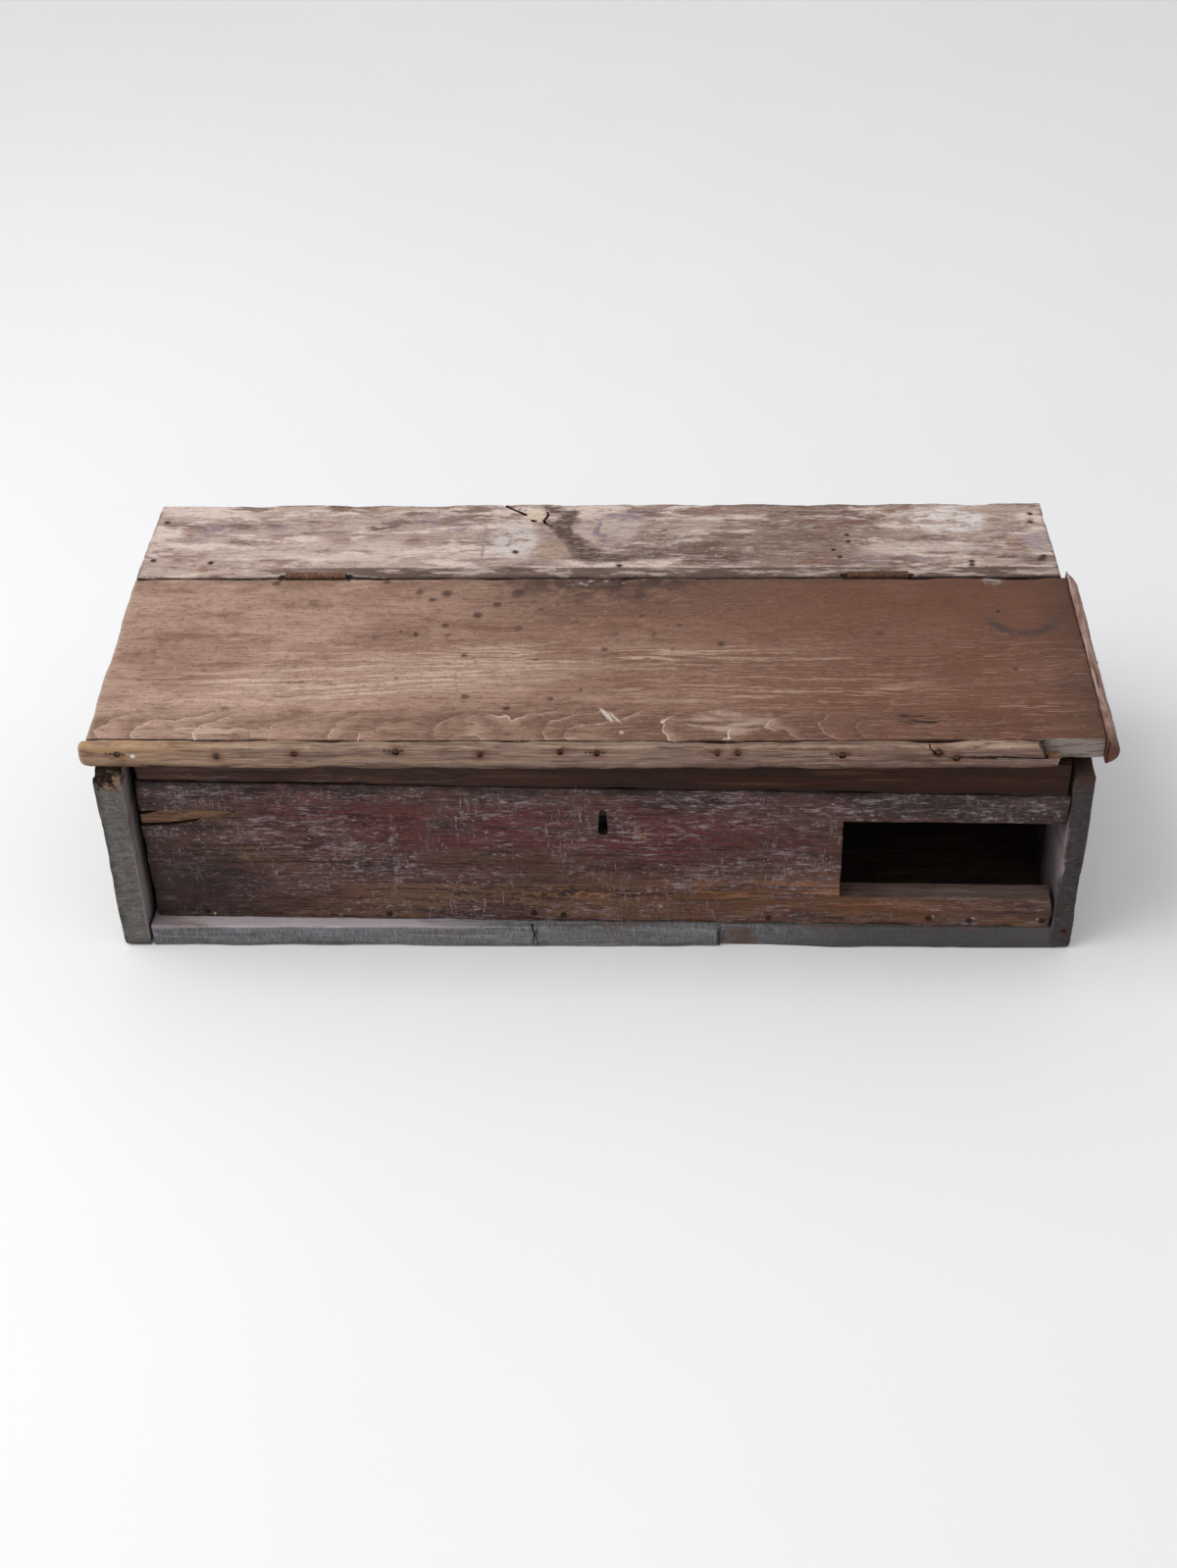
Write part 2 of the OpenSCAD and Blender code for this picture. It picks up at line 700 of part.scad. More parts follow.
// Half-round cleat, its rear end rounded in plan
module lid_end_cleat() {
    r = end_cleat_h / 2;
    color("indianred") difference() {
        on_lid() translate([lid_right_x, end_cleat_rear, end_cleat_proud - r]) intersection() {
            rotate([90, 0, 0]) linear_extrude(end_cleat_len) intersection() {
                translate([end_cleat_t - r, 0]) circle(r = r);
                translate([0, -r]) square([end_cleat_t, end_cleat_h]);
            }
            translate([0, -end_cleat_len, -r]) linear_extrude(end_cleat_h) {
                square([end_cleat_t, end_cleat_len - end_cleat_t]);
                translate([0, end_cleat_len - end_cleat_t]) circle(r = end_cleat_t);
            }
        }
        end_cleat_row(nail_gap);
    }
}

// One knuckle of a barrel, numbered from its left end
module knuckle(x, index, bore_gap) {
    translate([x - hinge_len / 2 + index * knuckle_len + slide_gap / 2, hinge_y, carcass_h])
        rotate([0, 90, 0]) difference() {
            cylinder(r = barrel_r, h = knuckle_len - slide_gap);
            translate([0, 0, -cut]) cylinder(d = pin_d + 2 * bore_gap, h = knuckle_len + 2 * cut);
        }
}

// Bore for the pin through a leaf's plate, where it runs up to the barrel
module barrel_bore(x, bore_gap) {
    translate([x - hinge_len / 2 - cut, hinge_y, carcass_h]) rotate([0, 90, 0])
        cylinder(d = pin_d + 2 * bore_gap, h = hinge_len + 2 * cut);
}

// Rear leaf: plate on the rear board's edge, cut away under the other leaf's knuckles
module rear_leaf(x) {
    difference() {
        union() {
            translate([x - hinge_len / 2, rear_y, carcass_h - leaf_h])
                cube([hinge_len, leaf_t, leaf_h - barrel_r / 4]);
            for (i = [0 : 2 : knuckles - 1]) knuckle(x, i, fixed_gap);
        }
        for (i = [1 : 2 : knuckles - 2])
            translate([x - hinge_len / 2 + i * knuckle_len - slide_gap / 2, rear_y - barrel_d,
                       carcass_h - barrel_r - 1.6 * barrel_gap])
                cube([knuckle_len + slide_gap, barrel_d * 3, barrel_d * 2]);
        barrel_bore(x, fixed_gap);
        hinge_rear_row(x, nail_gap);
    }
}

// Lid leaf: plate on the lid's rear edge, with webs back to its own knuckles
module lid_leaf(x) {
    difference() {
        union() {
            on_lid() translate([x - hinge_len / 2, -leaf_t, -leaf_h])
                cube([hinge_len, leaf_t, leaf_h - leaf_t / 2]);
            for (i = [1 : 2 : knuckles - 2]) {
                knuckle(x, i, running_gap);
                on_lid() translate([x - hinge_len / 2 + i * knuckle_len + slide_gap / 2, -leaf_t, -barrel_r])
                    cube([knuckle_len - slide_gap, leaf_t + web_run, leaf_t]);
            }
        }
        barrel_bore(x, running_gap);
        hinge_lid_row(x, nail_gap);
    }
}

module hinge_leaf_rear_left() { color("#6b4a38") rear_leaf(-hinge_x); }
module hinge_leaf_rear_right() { color("#6b4a38") rear_leaf(hinge_x); }
module hinge_leaf_lid_left() { color("#6b4a38") lid_leaf(-hinge_x); }
module hinge_leaf_lid_right() { color("#6b4a38") lid_leaf(hinge_x); }

module hinge_pin(x) {
    translate([x - hinge_len / 2, hinge_y, carcass_h]) rotate([0, 90, 0]) cylinder(d = pin_d, h = hinge_len);
}

module hinge_pin_left() { color("#4a3a32") hinge_pin(-hinge_x); }
module hinge_pin_right() { color("#4a3a32") hinge_pin(hinge_x); }

module hinge_screws_rear() {
    color("#4a3a32") for (x = [-hinge_x, hinge_x]) hinge_rear_row(x);
}

module hinge_screws_lid() {
    color("#4a3a32") for (x = [-hinge_x, hinge_x]) hinge_lid_row(x);
}

// Back plate of the lock with its top flange, slotted for the staples and their swing
module lock_plate() {
    color("gray") difference() {
        on_panel() difference() {
            union() {
                translate([lock_x - plate_w / 2, plate_y, plate_foot])
                    cube([plate_w, lock_wall, lock_top - plate_foot]);
                translate([lock_x - plate_w / 2, case_y, lock_top - lock_wall])
                    cube([plate_w, lock_d, lock_wall]);
            }
            for (i = [-1, 1])
                translate([lock_x + i * staple_x - staple_t / 2 - staple_gap,
                           staple_y - staple_w / 2 - staple_swing, lock_top - lock_wall - cut])
                    cube([staple_t + 2 * staple_gap, staple_w + staple_swing + staple_gap / 2,
                          lock_wall + 2 * cut]);
        }
        lock_row(nail_gap);
    }
}

// Lock case: a tray under the top flange, open to the back plate, with its own keyhole
// and a ledge at each side for the bolt to slide on
module lock_case() {
    color("gray") on_panel() {
        difference() {
            translate([lock_x - case_w / 2, case_y, case_foot])
                cube([case_w, lock_d - lock_wall, lock_top - lock_wall - case_foot]);
            translate([lock_x - case_w / 2 + lock_wall, case_y + lock_wall, case_foot + lock_wall])
                cube([case_w - 2 * lock_wall, lock_d, lock_top - case_foot]);
            translate([0, case_y - cut, 0]) board_from_front(lock_wall + 2 * cut) keyhole_outline();
        }
        for (i = [0, 1])
            translate([lock_x - case_w / 2 + lock_wall / 2 + i * (case_w - lock_wall - ledge_len),
                       case_y + lock_wall / 2, bar_foot - slide_gap - ledge_h])
                cube([ledge_len, lock_d - 1.5 * lock_wall, ledge_h]);
    }
}

module lock_post() {
    color("silver") on_panel() translate([lock_x, case_y, post_z]) rotate([-90, 0, 0])
        cylinder(d = post_d, h = lock_d - lock_wall);
}

// Notch that a staple drops into, with the finger that slides through its eye
module staple_notch() {
    difference() {
        translate([0, notch_foot]) square([notch_w, bolt_top - notch_foot + cut]);
        translate([-cut, finger_foot]) square([finger_len + cut, finger_h]);
    }
}

// Bolt: a bar with two fingers, and a tail notched for the key
module lock_bolt() {
    color("darkgoldenrod") on_panel() translate([bolt_x, bolt_y, 0]) board_from_front(bolt_t) difference() {
        union() {
            translate([0, bar_foot]) square([bolt_w, bolt_top - bar_foot]);
            translate([tail_x - bolt_tail_w / 2, bolt_foot]) square([bolt_tail_w, notch_foot - bolt_foot]);
        }
        for (i = [0, 1]) translate([bolt_web + i * (notch_w + bolt_web), 0]) staple_notch();
        translate([tail_x, bolt_foot]) circle(r = talon_r);
    }
}

// Link plate with the two staples that hang through the lock's flange
module lock_link_plate() {
    color("gray") difference() {
        on_panel() {
            translate([lock_x - link_w / 2, link_set, link_foot]) cube([link_w, link_d, lock_wall]);
            for (i = [-1, 1])
                translate([lock_x + i * staple_x - staple_t / 2, staple_y, 0]) difference() {
                    translate([0, -staple_w / 2, staple_foot])
                        cube([staple_t, staple_w, link_foot + lock_wall / 2 - staple_foot]);
                    translate([-cut, -eye_w / 2, eye_foot])
                        cube([staple_t + 2 * cut, eye_w, finger_h + 2 * staple_gap]);
                }
        }
        link_row(nail_gap);
    }
}

module lock_screws() { color("#4a3a32") lock_row(); }
module link_plate_screws() { color("#4a3a32") link_row(); }
module nails_rear_top() { color("#3d2f28") rear_top_row(); }
module nails_ends() { color("#3d2f28") end_row(); }
module nails_back() { color("#3d2f28") back_row(); }
module nails_front_panel() { color("#3d2f28") front_panel_row(); }
module nails_floor_cleat() { color("#3d2f28") floor_cleat_row(); }
module nails_moulding() { color("#3d2f28") moulding_row(); }
module nails_end_cleat() { color("#3d2f28") end_cleat_row(); }
module nails_lip() { color("#3d2f28") lip_row(); }

left_end();
right_end();
bottom_board();
back_board();
rear_top_board();
hinge_rail();
front_panel();
floor_cleat();
lid_board();
lid_lip();
lid_moulding();
lid_end_cleat();
hinge_leaf_rear_left();
hinge_leaf_rear_right();
hinge_leaf_lid_left();
hinge_leaf_lid_right();
hinge_pin_left();
hinge_pin_right();
hinge_screws_rear();
hinge_screws_lid();
lock_plate();
lock_case();
lock_post();
lock_bolt();
lock_link_plate();
lock_screws();
link_plate_screws();
nails_rear_top();
nails_ends();
nails_back();
nails_front_panel();
nails_floor_cleat();
nails_moulding();
nails_end_cleat();
nails_lip();
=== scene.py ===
import bpy
import json
import math
import random
from mathutils import Matrix, Vector


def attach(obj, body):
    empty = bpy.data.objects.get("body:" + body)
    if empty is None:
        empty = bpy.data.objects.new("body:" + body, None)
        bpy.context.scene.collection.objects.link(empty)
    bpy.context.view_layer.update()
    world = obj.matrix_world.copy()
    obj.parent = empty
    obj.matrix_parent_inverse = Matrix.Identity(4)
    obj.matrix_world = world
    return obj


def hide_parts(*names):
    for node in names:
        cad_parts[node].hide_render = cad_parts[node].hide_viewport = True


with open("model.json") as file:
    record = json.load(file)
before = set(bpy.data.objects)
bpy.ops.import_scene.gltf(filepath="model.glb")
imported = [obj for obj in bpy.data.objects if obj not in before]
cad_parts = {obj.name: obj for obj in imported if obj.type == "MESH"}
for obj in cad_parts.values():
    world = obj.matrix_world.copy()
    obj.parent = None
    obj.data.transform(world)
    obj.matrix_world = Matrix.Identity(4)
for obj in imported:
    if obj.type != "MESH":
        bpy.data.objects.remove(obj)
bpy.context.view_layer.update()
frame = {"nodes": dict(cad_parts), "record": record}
mm = 0.001

# Sizes are in millimetres, angles in degrees. The sloping lid and the askew panel have frames of their own.
lidPlane = {"rearY": 49.96, "topZ": 264, "slope": 4.532}
panelPlane = {"leftX": -423.5, "frontY": -182.5, "skew": 0.933, "long": 859.6, "keyX": 433.56}
onFloor = Matrix.Identity(4)
onLid = (Matrix.Translation((0, lidPlane["rearY"] * mm, lidPlane["topZ"] * mm))
         @ Matrix.Rotation(math.radians(lidPlane["slope"]), 4, "X"))
onPanel = (Matrix.Translation((panelPlane["leftX"] * mm, panelPlane["frontY"] * mm, 0))
           @ Matrix.Rotation(math.radians(-panelPlane["skew"]), 4, "Z"))


# A colour code as linear light
def linearOf(code):
    parts = [int(code[i:i + 2], 16) / 255 for i in (1, 3, 5)]
    return [c / 12.92 if c <= 0.04045 else ((c + 0.055) / 1.055) ** 2.4 for c in parts] + [1]


# Adds a node, sets or links its inputs and gives back its outputs
def addNode(tree, kind, put=None, **setup):
    node = tree.nodes.new("ShaderNode" + kind)
    for key, value in setup.items():
        setattr(node, key, value)
    for key, value in (put or {}).items():
        if isinstance(value, bpy.types.NodeSocket):
            tree.links.new(value, node.inputs[key])
        else:
            node.inputs[key].default_value = value
    return node.outputs


# Finishes are laid in layers: a colour, how strongly it covers, and patterns, functions that add their nodes
seedStep = 17.3  # how far apart two seeds stand in the noise
unbounded = 1e5  # radius along an axis that a patch isn't bounded on
markRim = 1.2  # a round mark ends at this many times its radius
dullGloss = 0.18  # how strongly bare wood and old paint reflect
drift = {"grain": 90, "rag": 22, "fleck": 5, "fleckSway": 2.4}  # wave lengths, and how far a fleck wanders


# Stretched noise for grain, dashes and blotches; size is its length along x, y and z, or z as y if left out
def streaks(size, edge, seed=0, detail=4, rough=0.6, turn=None):
    def lay(tree, spots):
        at = spots["grain"]
        if turn:
            swing = {"Vector": at, "Rotation": [math.radians(n) for n in turn]}
            at = addNode(tree, "VectorRotate", swing, rotation_type="EULER_XYZ")[0]
        fit = {0: at, 1: [1 / n for n in (*size, size[-1])[:3]], 2: [seed * seedStep] * 3}
        at = addNode(tree, "VectorMath", fit, operation="MULTIPLY_ADD")[0]
        noise = addNode(tree, "TexNoise", {"Vector": at, "Scale": 1, "Detail": detail, "Roughness": rough})
        step = {0: noise[0], 1: edge[0], 2: edge[1]}
        return addNode(tree, "MapRange", step, interpolation_type="SMOOTHSTEP")[0]
    return lay


# A soft oval round one place, with a ragged rim; an axis that is left out or has radius 0 isn't bounded
def patch(at, radii, turn=(0, 0, 0), soft=0.4, line="rag"):
    def lay(tree, spots):
        fit = {"Vector": spots[line], "Location": (*at, 0)[:3], "Rotation": [math.radians(n) for n in turn],
               "Scale": [n or unbounded for n in (*radii, 0)[:3]]}
        off = addNode(tree, "Mapping", fit, vector_type="TEXTURE")[0]
        reach = addNode(tree, "VectorMath", {0: off}, operation="LENGTH")["Value"]
        rim = {0: reach, 1: 1, 2: soft}
        return addNode(tree, "MapRange", rim, interpolation_type="SMOOTHSTEP")[0]
    return lay


# Round marks of one colour, each with its own place, radius and strength
def roundMarks(marks, soft=0.45):
    def lay(tree, spots):
        total = 0
        for place, radius, strength in marks:
            reach = addNode(tree, "VectorMath", {0: spots["fleck"], 1: place}, operation="DISTANCE")
            step = {0: reach["Value"], 1: radius * markRim, 2: radius * soft, 4: strength}
            mark = addNode(tree, "MapRange", step, interpolation_type="SMOOTHSTEP")[0]
            total = addNode(tree, "Math", {0: total, 1: mark}, operation="MAXIMUM")[0]
        return total
    return lay


# A change along one axis from one place to another, its line wandering
def fade(axis, edge, line="rag"):
    def lay(tree, spots):
        along = addNode(tree, "SeparateXYZ", {0: spots[line]})[axis]
        step = {0: along, 1: edge[0], 2: edge[1]}
        return addNode(tree, "MapRange", step, interpolation_type="SMOOTHSTEP")[0]
    return lay


# Worn or dirty edges: nearness to the board's arrises, the second smallest of the gaps to its faces
def arrises(low, high, reach):
    def lay(tree, spots):
        under = addNode(tree, "VectorMath", {0: spots["fleck"], 1: low}, operation="SUBTRACT")[0]
        over = addNode(tree, "VectorMath", {0: high, 1: spots["fleck"]}, operation="SUBTRACT")[0]
        nearer = addNode(tree, "VectorMath", {0: under, 1: over}, operation="MINIMUM")[0]
        x, y, z = addNode(tree, "SeparateXYZ", {0: nearer})
        least = addNode(tree, "Math", {0: x, 1: y}, operation="MINIMUM")[0]
        most = addNode(tree, "Math", {0: x, 1: y}, operation="MAXIMUM")[0]
        other = addNode(tree, "Math", {0: most, 1: z}, operation="MINIMUM")[0]
        second = addNode(tree, "Math", {0: least, 1: other}, operation="MAXIMUM")[0]
        near = {0: second, 1: reach, 2: 0}
        return addNode(tree, "MapRange", near, interpolation_type="SMOOTHSTEP")[0]
    return lay


# Flat-sawn growth rings: nested arches lying along the grain, each with one crisp edge that dims behind it
def rings(heart, arch, step, wander, crisp, dim):
    def lay(tree, spots):
        along, across, _ = addNode(tree, "SeparateXYZ", {0: spots["mm"]})
        off = addNode(tree, "Math", {0: across, 1: heart}, operation="SUBTRACT")[0]
        bow = addNode(tree, "Math", {0: off, 1: 2}, operation="POWER")[0]
        field = addNode(tree, "Math", {0: bow, 1: -arch, 2: along}, operation="MULTIPLY_ADD")[0]
        for size, sway in wander:
            waves = {"Vector": spots["mm"], "Scale": 1 / size, "Detail": 2}
            push = {0: addNode(tree, "TexNoise", waves)[0], 1: sway, 2: field}
            field = addNode(tree, "Math", push, operation="MULTIPLY_ADD")[0]
        count = addNode(tree, "Math", {0: field, 1: 1 / step}, operation="MULTIPLY")[0]
        phase = addNode(tree, "Math", {0: count}, operation="FRACT")[0]
        rise = addNode(tree, "MapRange", {0: phase, 1: 0, 2: crisp})[0]
        fall = addNode(tree, "MapRange", {0: phase, 1: dim, 2: crisp})[0]
        return addNode(tree, "Math", {0: rise, 1: fall}, operation="MULTIPLY")[0]
    return lay


# A curved stain, part of a circle
def arc(at, radius, width):
    def lay(tree, spots):
        reach = addNode(tree, "VectorMath", {0: spots["fleck"], 1: at}, operation="DISTANCE")
        off = addNode(tree, "Math", {0: reach["Value"], 1: radius}, operation="SUBTRACT")[0]
        off = addNode(tree, "Math", {0: off}, operation="ABSOLUTE")[0]
        step = {0: off, 1: width, 2: 0}
        return addNode(tree, "MapRange", step, interpolation_type="SMOOTHSTEP")[0]
    return lay


# How strongly a layer covers: its patterns multiplied together, times its amount
def layFactor(tree, spots, amount, parts):
    factor = amount
    for part in parts:
        factor = addNode(tree, "Math", {0: factor, 1: part(tree, spots)}, operation="MULTIPLY")[0]
    return factor


# A finish from its look: base colour, layers, relief in millimetres, and how dull it is
def makeFinish(name, look):
    material = bpy.data.materials.new(name)
    material.use_nodes = True
    tree = material.node_tree
    shader = tree.nodes["Principled BSDF"]
    # Patterns read millimetres in the board's own frame, so grain and stains have their real sizes
    origin, turn = look.get("frame", ((0, 0, 0), (0, 0, 0)))
    fit = {"Vector": addNode(tree, "TexCoord")["Object"], "Location": origin, "Rotation": turn,
           "Scale": (mm, mm, mm)}
    flat = addNode(tree, "Mapping", fit, vector_type="TEXTURE")[0]
    spots = {"mm": flat}
    # Three wandering copies of the place: slow for grain, ragged for stains, quick for small marks
    for label, sway in (("grain", look["sway"]), ("rag", look["rag"]), ("fleck", drift["fleckSway"])):
        waves = {"Vector": flat, "Scale": 1 / drift[label], "Detail": 3, "Roughness": 0.6}
        push = {0: addNode(tree, "TexNoise", waves)[1], 1: (0.5, 0.5, 0.5)}
        push = addNode(tree, "VectorMath", push, operation="SUBTRACT")[0]
        push = {0: push, 1: [sway * 2] * 3, 2: flat}
        spots[label] = addNode(tree, "VectorMath", push, operation="MULTIPLY_ADD")[0]
    shade = linearOf(look["base"])
    for colour, amount, *parts in look["layers"]:
        cover = {0: layFactor(tree, spots, amount, parts), 6: shade, 7: linearOf(colour)}
        shade = addNode(tree, "Mix", cover, data_type="RGBA")[2]
    tree.links.new(shade, shader.inputs["Base Color"])
    height = 0
    for depth, *parts in look["relief"]:
        step = layFactor(tree, spots, depth * mm, parts)
        height = addNode(tree, "Math", {0: height, 1: step}, operation="ADD")[0]
    bump = addNode(tree, "Bump", {"Height": height, "Distance": 1, "Strength": 1})
    tree.links.new(bump[0], shader.inputs["Normal"])
    # The finest relief also varies how dull the surface is
    smooth, dull = look["rough"]
    finest = look["relief"][0][1]
    spread = layFactor(tree, spots, dull - smooth, [finest])
    spread = addNode(tree, "Math", {0: spread, 1: smooth}, operation="ADD")[0]
    tree.links.new(spread, shader.inputs["Roughness"])
    shader.inputs["Metallic"].default_value = look.get("metallic", 0)
    shader.inputs["Specular IOR Level"].default_value = look.get("gloss", dullGloss)
    return material


lidFrame = ((0, lidPlane["rearY"] * mm, lidPlane["topZ"] * mm), (math.radians(lidPlane["slope"]), 0, 0))
panelFrame = ((panelPlane["leftX"] * mm, panelPlane["frontY"] * mm, 0),
              (0, 0, math.radians(-panelPlane["skew"])))
hingeEnds = (-311.5, -244.5, 244.5, 309.5)  # where dirt and shadow gather beside the hinge barrels

# Dry softwood of the lid, planed and never sealed: grey streaks, growth rings, and drips kept as dark spots
lidDrips = ((-172, -22, 5, 0.75), (-145, -24, 6.2, 0.8), (-158, -34, 4.2, 0.8), (-315, -7, 5, 0.7),
            (-113, -59, 5.6, 0.85), (-143, -75, 4.4, 0.8), (-160, -78, 2.8, 0.5), (-170, -89, 4, 0.9),
            (-139, -90, 3.6, 0.6), (-185, -84, 2.6, 0.5), (-209, -93, 5, 0.45), (-95, -42, 5, 0.8),
            (-72, -79, 5, 0.6), (-52, -49, 3.6, 0.55), (11, -112, 3.8, 0.8), (75, -112, 3.2, 0.5),
            (121, -104, 4.6, 0.8), (57, -89, 3.6, 0.5), (20, -88, 5.6, 0.4), (-122, -121, 3.6, 0.8),
            (-110, -131, 2.8, 0.65), (-54, -127, 2.4, 0.65), (-117, -182, 5.2, 0.8), (-78, -199, 5, 0.85),
            (-38, -185, 4.4, 0.9), (-183, -155, 2.8, 0.65), (-337, -200, 5.4, 0.4),
            (-271, -160, 3.6, 0.45), (-10, -172, 3.2, 0.65), (-75, -235, 3.6, 0.5), (-75, -24, 8, 0.65),
            (43, -29, 7, 0.55), (272, -88, 4.6, 0.4), (388, -54, 2.8, 0.95), (393, -143, 3.4, 0.65),
            (276, -128, 2.8, 0.55), (-275, -39, 5.4, 0.4), (-206, -5, 4.4, 0.65), (46, -60, 2.8, 0.65),
            (82, -75, 2.8, 0.65), (63, -54, 2.6, 0.5), (366, -30, 3, 0.3), (245, -88, 3.4, 0.3),
            (-93, -104, 3, 0.35))
lidMarks = [((x, y, 0), radius, dark) for x, y, radius, dark in lidDrips]
lidNotches = [((x, 0, 0), 3, 1) for x in hingeEnds]
frontRings = {"heart": -232, "arch": 0.075, "step": 56, "wander": ((7, 9), (16, 30), (40, 90), (150, 260))}
frontOnly = fade("Y", (-196, -214))
brokenEdge = [fade("Y", (-242.2, -243.6), line="mm"), fade("X", (394, 404), line="mm")]
ringBreaks = streaks((110, 60), (0.36, 0.5), seed=30, detail=1)
dryLidWood = makeFinish("dryPlanedSoftwood", {
    "frame": lidFrame, "base": "#8d6e5d", "rough": (0.62, 0.8), "sway": 7, "rag": 16,
    "layers": [
        ("#b49482", 0.88, fade("X", (40, -320))),
        ("#694232", 0.92, fade("X", (-90, 300))),
        ("#604234", 0.6, patch((40, -34), (240, 70), soft=0.1)),
        ("#785647", 0.55, streaks((120, 50), (0.44, 0.6), seed=1, detail=6, rough=0.65)),
        ("#ab8a78", 0.5, streaks((44, 20), (0.5, 0.62), seed=16, detail=7, rough=0.7),
         fade("X", (250, -200))),
        ("#684739", 0.5, streaks((60, 20), (0.51, 0.63), seed=17, detail=7, rough=0.7)),
        ("#b49684", 0.5, streaks((300, 9), (0.5, 0.63), seed=2), fade("X", (330, -200)),
         fade("Y", (-60, -120))),
        ("#cfb4a2", 0.85, streaks((190, 4), (0.49, 0.6), seed=3, turn=(0, 0, -4)),
         patch((-230, -160), (300, 46), turn=(0, 0, 5), soft=0.2)),
        ("#c6ab98", 0.7, streaks((150, 3.4), (0.51, 0.6), seed=4), patch((-60, -122), (420, 30), soft=0.2)),
        ("#c2a591", 0.55, streaks((120, 4), (0.52, 0.61), seed=27), patch((160, -170), (240, 36), soft=0.2)),
        ("#604033", 0.3, streaks((260, 5), (0.53, 0.66), seed=5)),
        ("#664537", 0.55, patch((-40, -212), (360, 24), soft=0.3), streaks((160, 14), (0.35, 0.58), seed=6)),
        ("#bb9e8b", 0.6, rings(**frontRings, crisp=0.03, dim=0.5), frontOnly, ringBreaks,
         fade("X", (240, 120)), streaks((60, 20), (0.4, 0.6), seed=18)),
        ("#e0cdbe", 0.92, rings(**frontRings, crisp=0.01, dim=0.06), frontOnly, ringBreaks,
         fade("X", (290, 110)), streaks((46, 22), (0.38, 0.5), seed=19)),
        ("#513528", 0.5, rings(**frontRings, crisp=0.9, dim=1.15), frontOnly),
        ("#593c30", 0.3, streaks((130, 1.4), (0.53, 0.66), seed=7, detail=2)),
        ("#53372b", 0.6, streaks((9, 3), (0.51, 0.63), seed=25, detail=7, rough=0.8)),
        ("#bd9f8c", 0.4, streaks((7, 2.4), (0.53, 0.65), seed=26, detail=7, rough=0.8),
         fade("X", (620, -160))),
        ("#5d4133", 0.2, streaks((1.6, 12), (0.5, 0.62), seed=28, detail=5, rough=0.75)),
        ("#ba9e8c", 0.4, streaks((100, 1.2), (0.55, 0.68), seed=8, detail=2), fade("Y", (-30, -140))),
        ("#bfa797", 0.6, patch((122, -218), (56, 18), soft=0.4), streaks((50, 6), (0.36, 0.58), seed=9)),
        ("#c1a897", 0.7, patch((-350, -233), (70, 8), soft=0.3), streaks((50, 5), (0.36, 0.58), seed=20)),
        ("#d7cac1", 0.8, patch((14, -208), (3, 15), turn=(0, 0, 30), line="fleck"),
         streaks((6, 6), (0.34, 0.5), seed=21)),
        ("#d3c3b8", 0.6, patch((22, -212), (2, 12), turn=(0, 0, 40), line="fleck")),
        ("#493932", 0.9, patch((4, -8), (160, 40), soft=0.3),
         streaks((26, 18), (0.4, 0.6), seed=10, detail=6, rough=0.7)),
        ("#3e2e28", 0.9, patch((14, 0), (130, 24), soft=0.3),
         streaks((12, 9), (0.4, 0.56), seed=11, detail=6, rough=0.75)),
        ("#beb2ad", 0.8, patch((0, -5), (60, 7), soft=0.2), streaks((9, 4), (0.54, 0.64), seed=12)),
        ("#513d2e", 0.4, streaks((5, 4), (0.58, 0.7), seed=22, detail=3),
         patch((-10, -50), (220, 70), soft=0.1)),
        ("#573f34", 0.55, fade("Y", (-24, 2)), streaks((90, 30), (0.35, 0.6), seed=13)),
        ("#4b382f", 0.6, fade("X", (405, 460)), streaks((70, 30), (0.3, 0.6), seed=14)),
        ("#443937", 0.85, arc((410, -56, 0), radius=33, width=9), fade("Y", (-58, -78), line="mm"),
         streaks((16, 16), (0.3, 0.5), seed=23)),
        ("#a19695", 0.6, patch((388, -5), (16, 6)), streaks((8, 4), (0.4, 0.56), seed=24)),
        ("#392b26", 0.95, roundMarks(lidMarks)),
        ("#150d0a", 0.9, roundMarks(lidNotches, soft=0.7)),
        ("#473229", 0.5, streaks((4, 3), (0.66, 0.74), seed=15, detail=2),
         patch((-40, -90), (230, 110), soft=0.2)),
        ("#b59f8f", 0.5, arrises((-457, -300, -22), (480, 40, 0), reach=6)),
        ("#8b8079", 0.9, *brokenEdge, streaks((50, 8), (0.24, 0.44), seed=130)),
        ("#55483f", 0.7, *brokenEdge, streaks((40, 4), (0.5, 0.62), seed=131, detail=6)),
        ("#33231c", 0.9, patch((296, -217), (24, 10), soft=0.6),
         streaks((30, 2.4), (0.52, 0.58), seed=138, detail=1)),
        # Near black along the rear edge, at the gap against the rear top board: painted shade
        ("#2a1c16", 0.8, fade("Y", (-1.8, -0.3), line="mm")),
        ("#2b1d17", 0.85, fade("Y", (-242.4, -244), line="mm"), fade("X", (416, 404), line="mm"),
         streaks((30, 30), (0.34, 0.48), seed=29)),
    ],
    "relief": [
        (0.25, streaks((130, 1.6), (0.35, 0.7), seed=7, detail=2)),
        (0.3, streaks((260, 7), (0.3, 0.7), seed=5)),
        (0.16, rings(**frontRings, crisp=0.03, dim=0.55), frontOnly),
    ]})

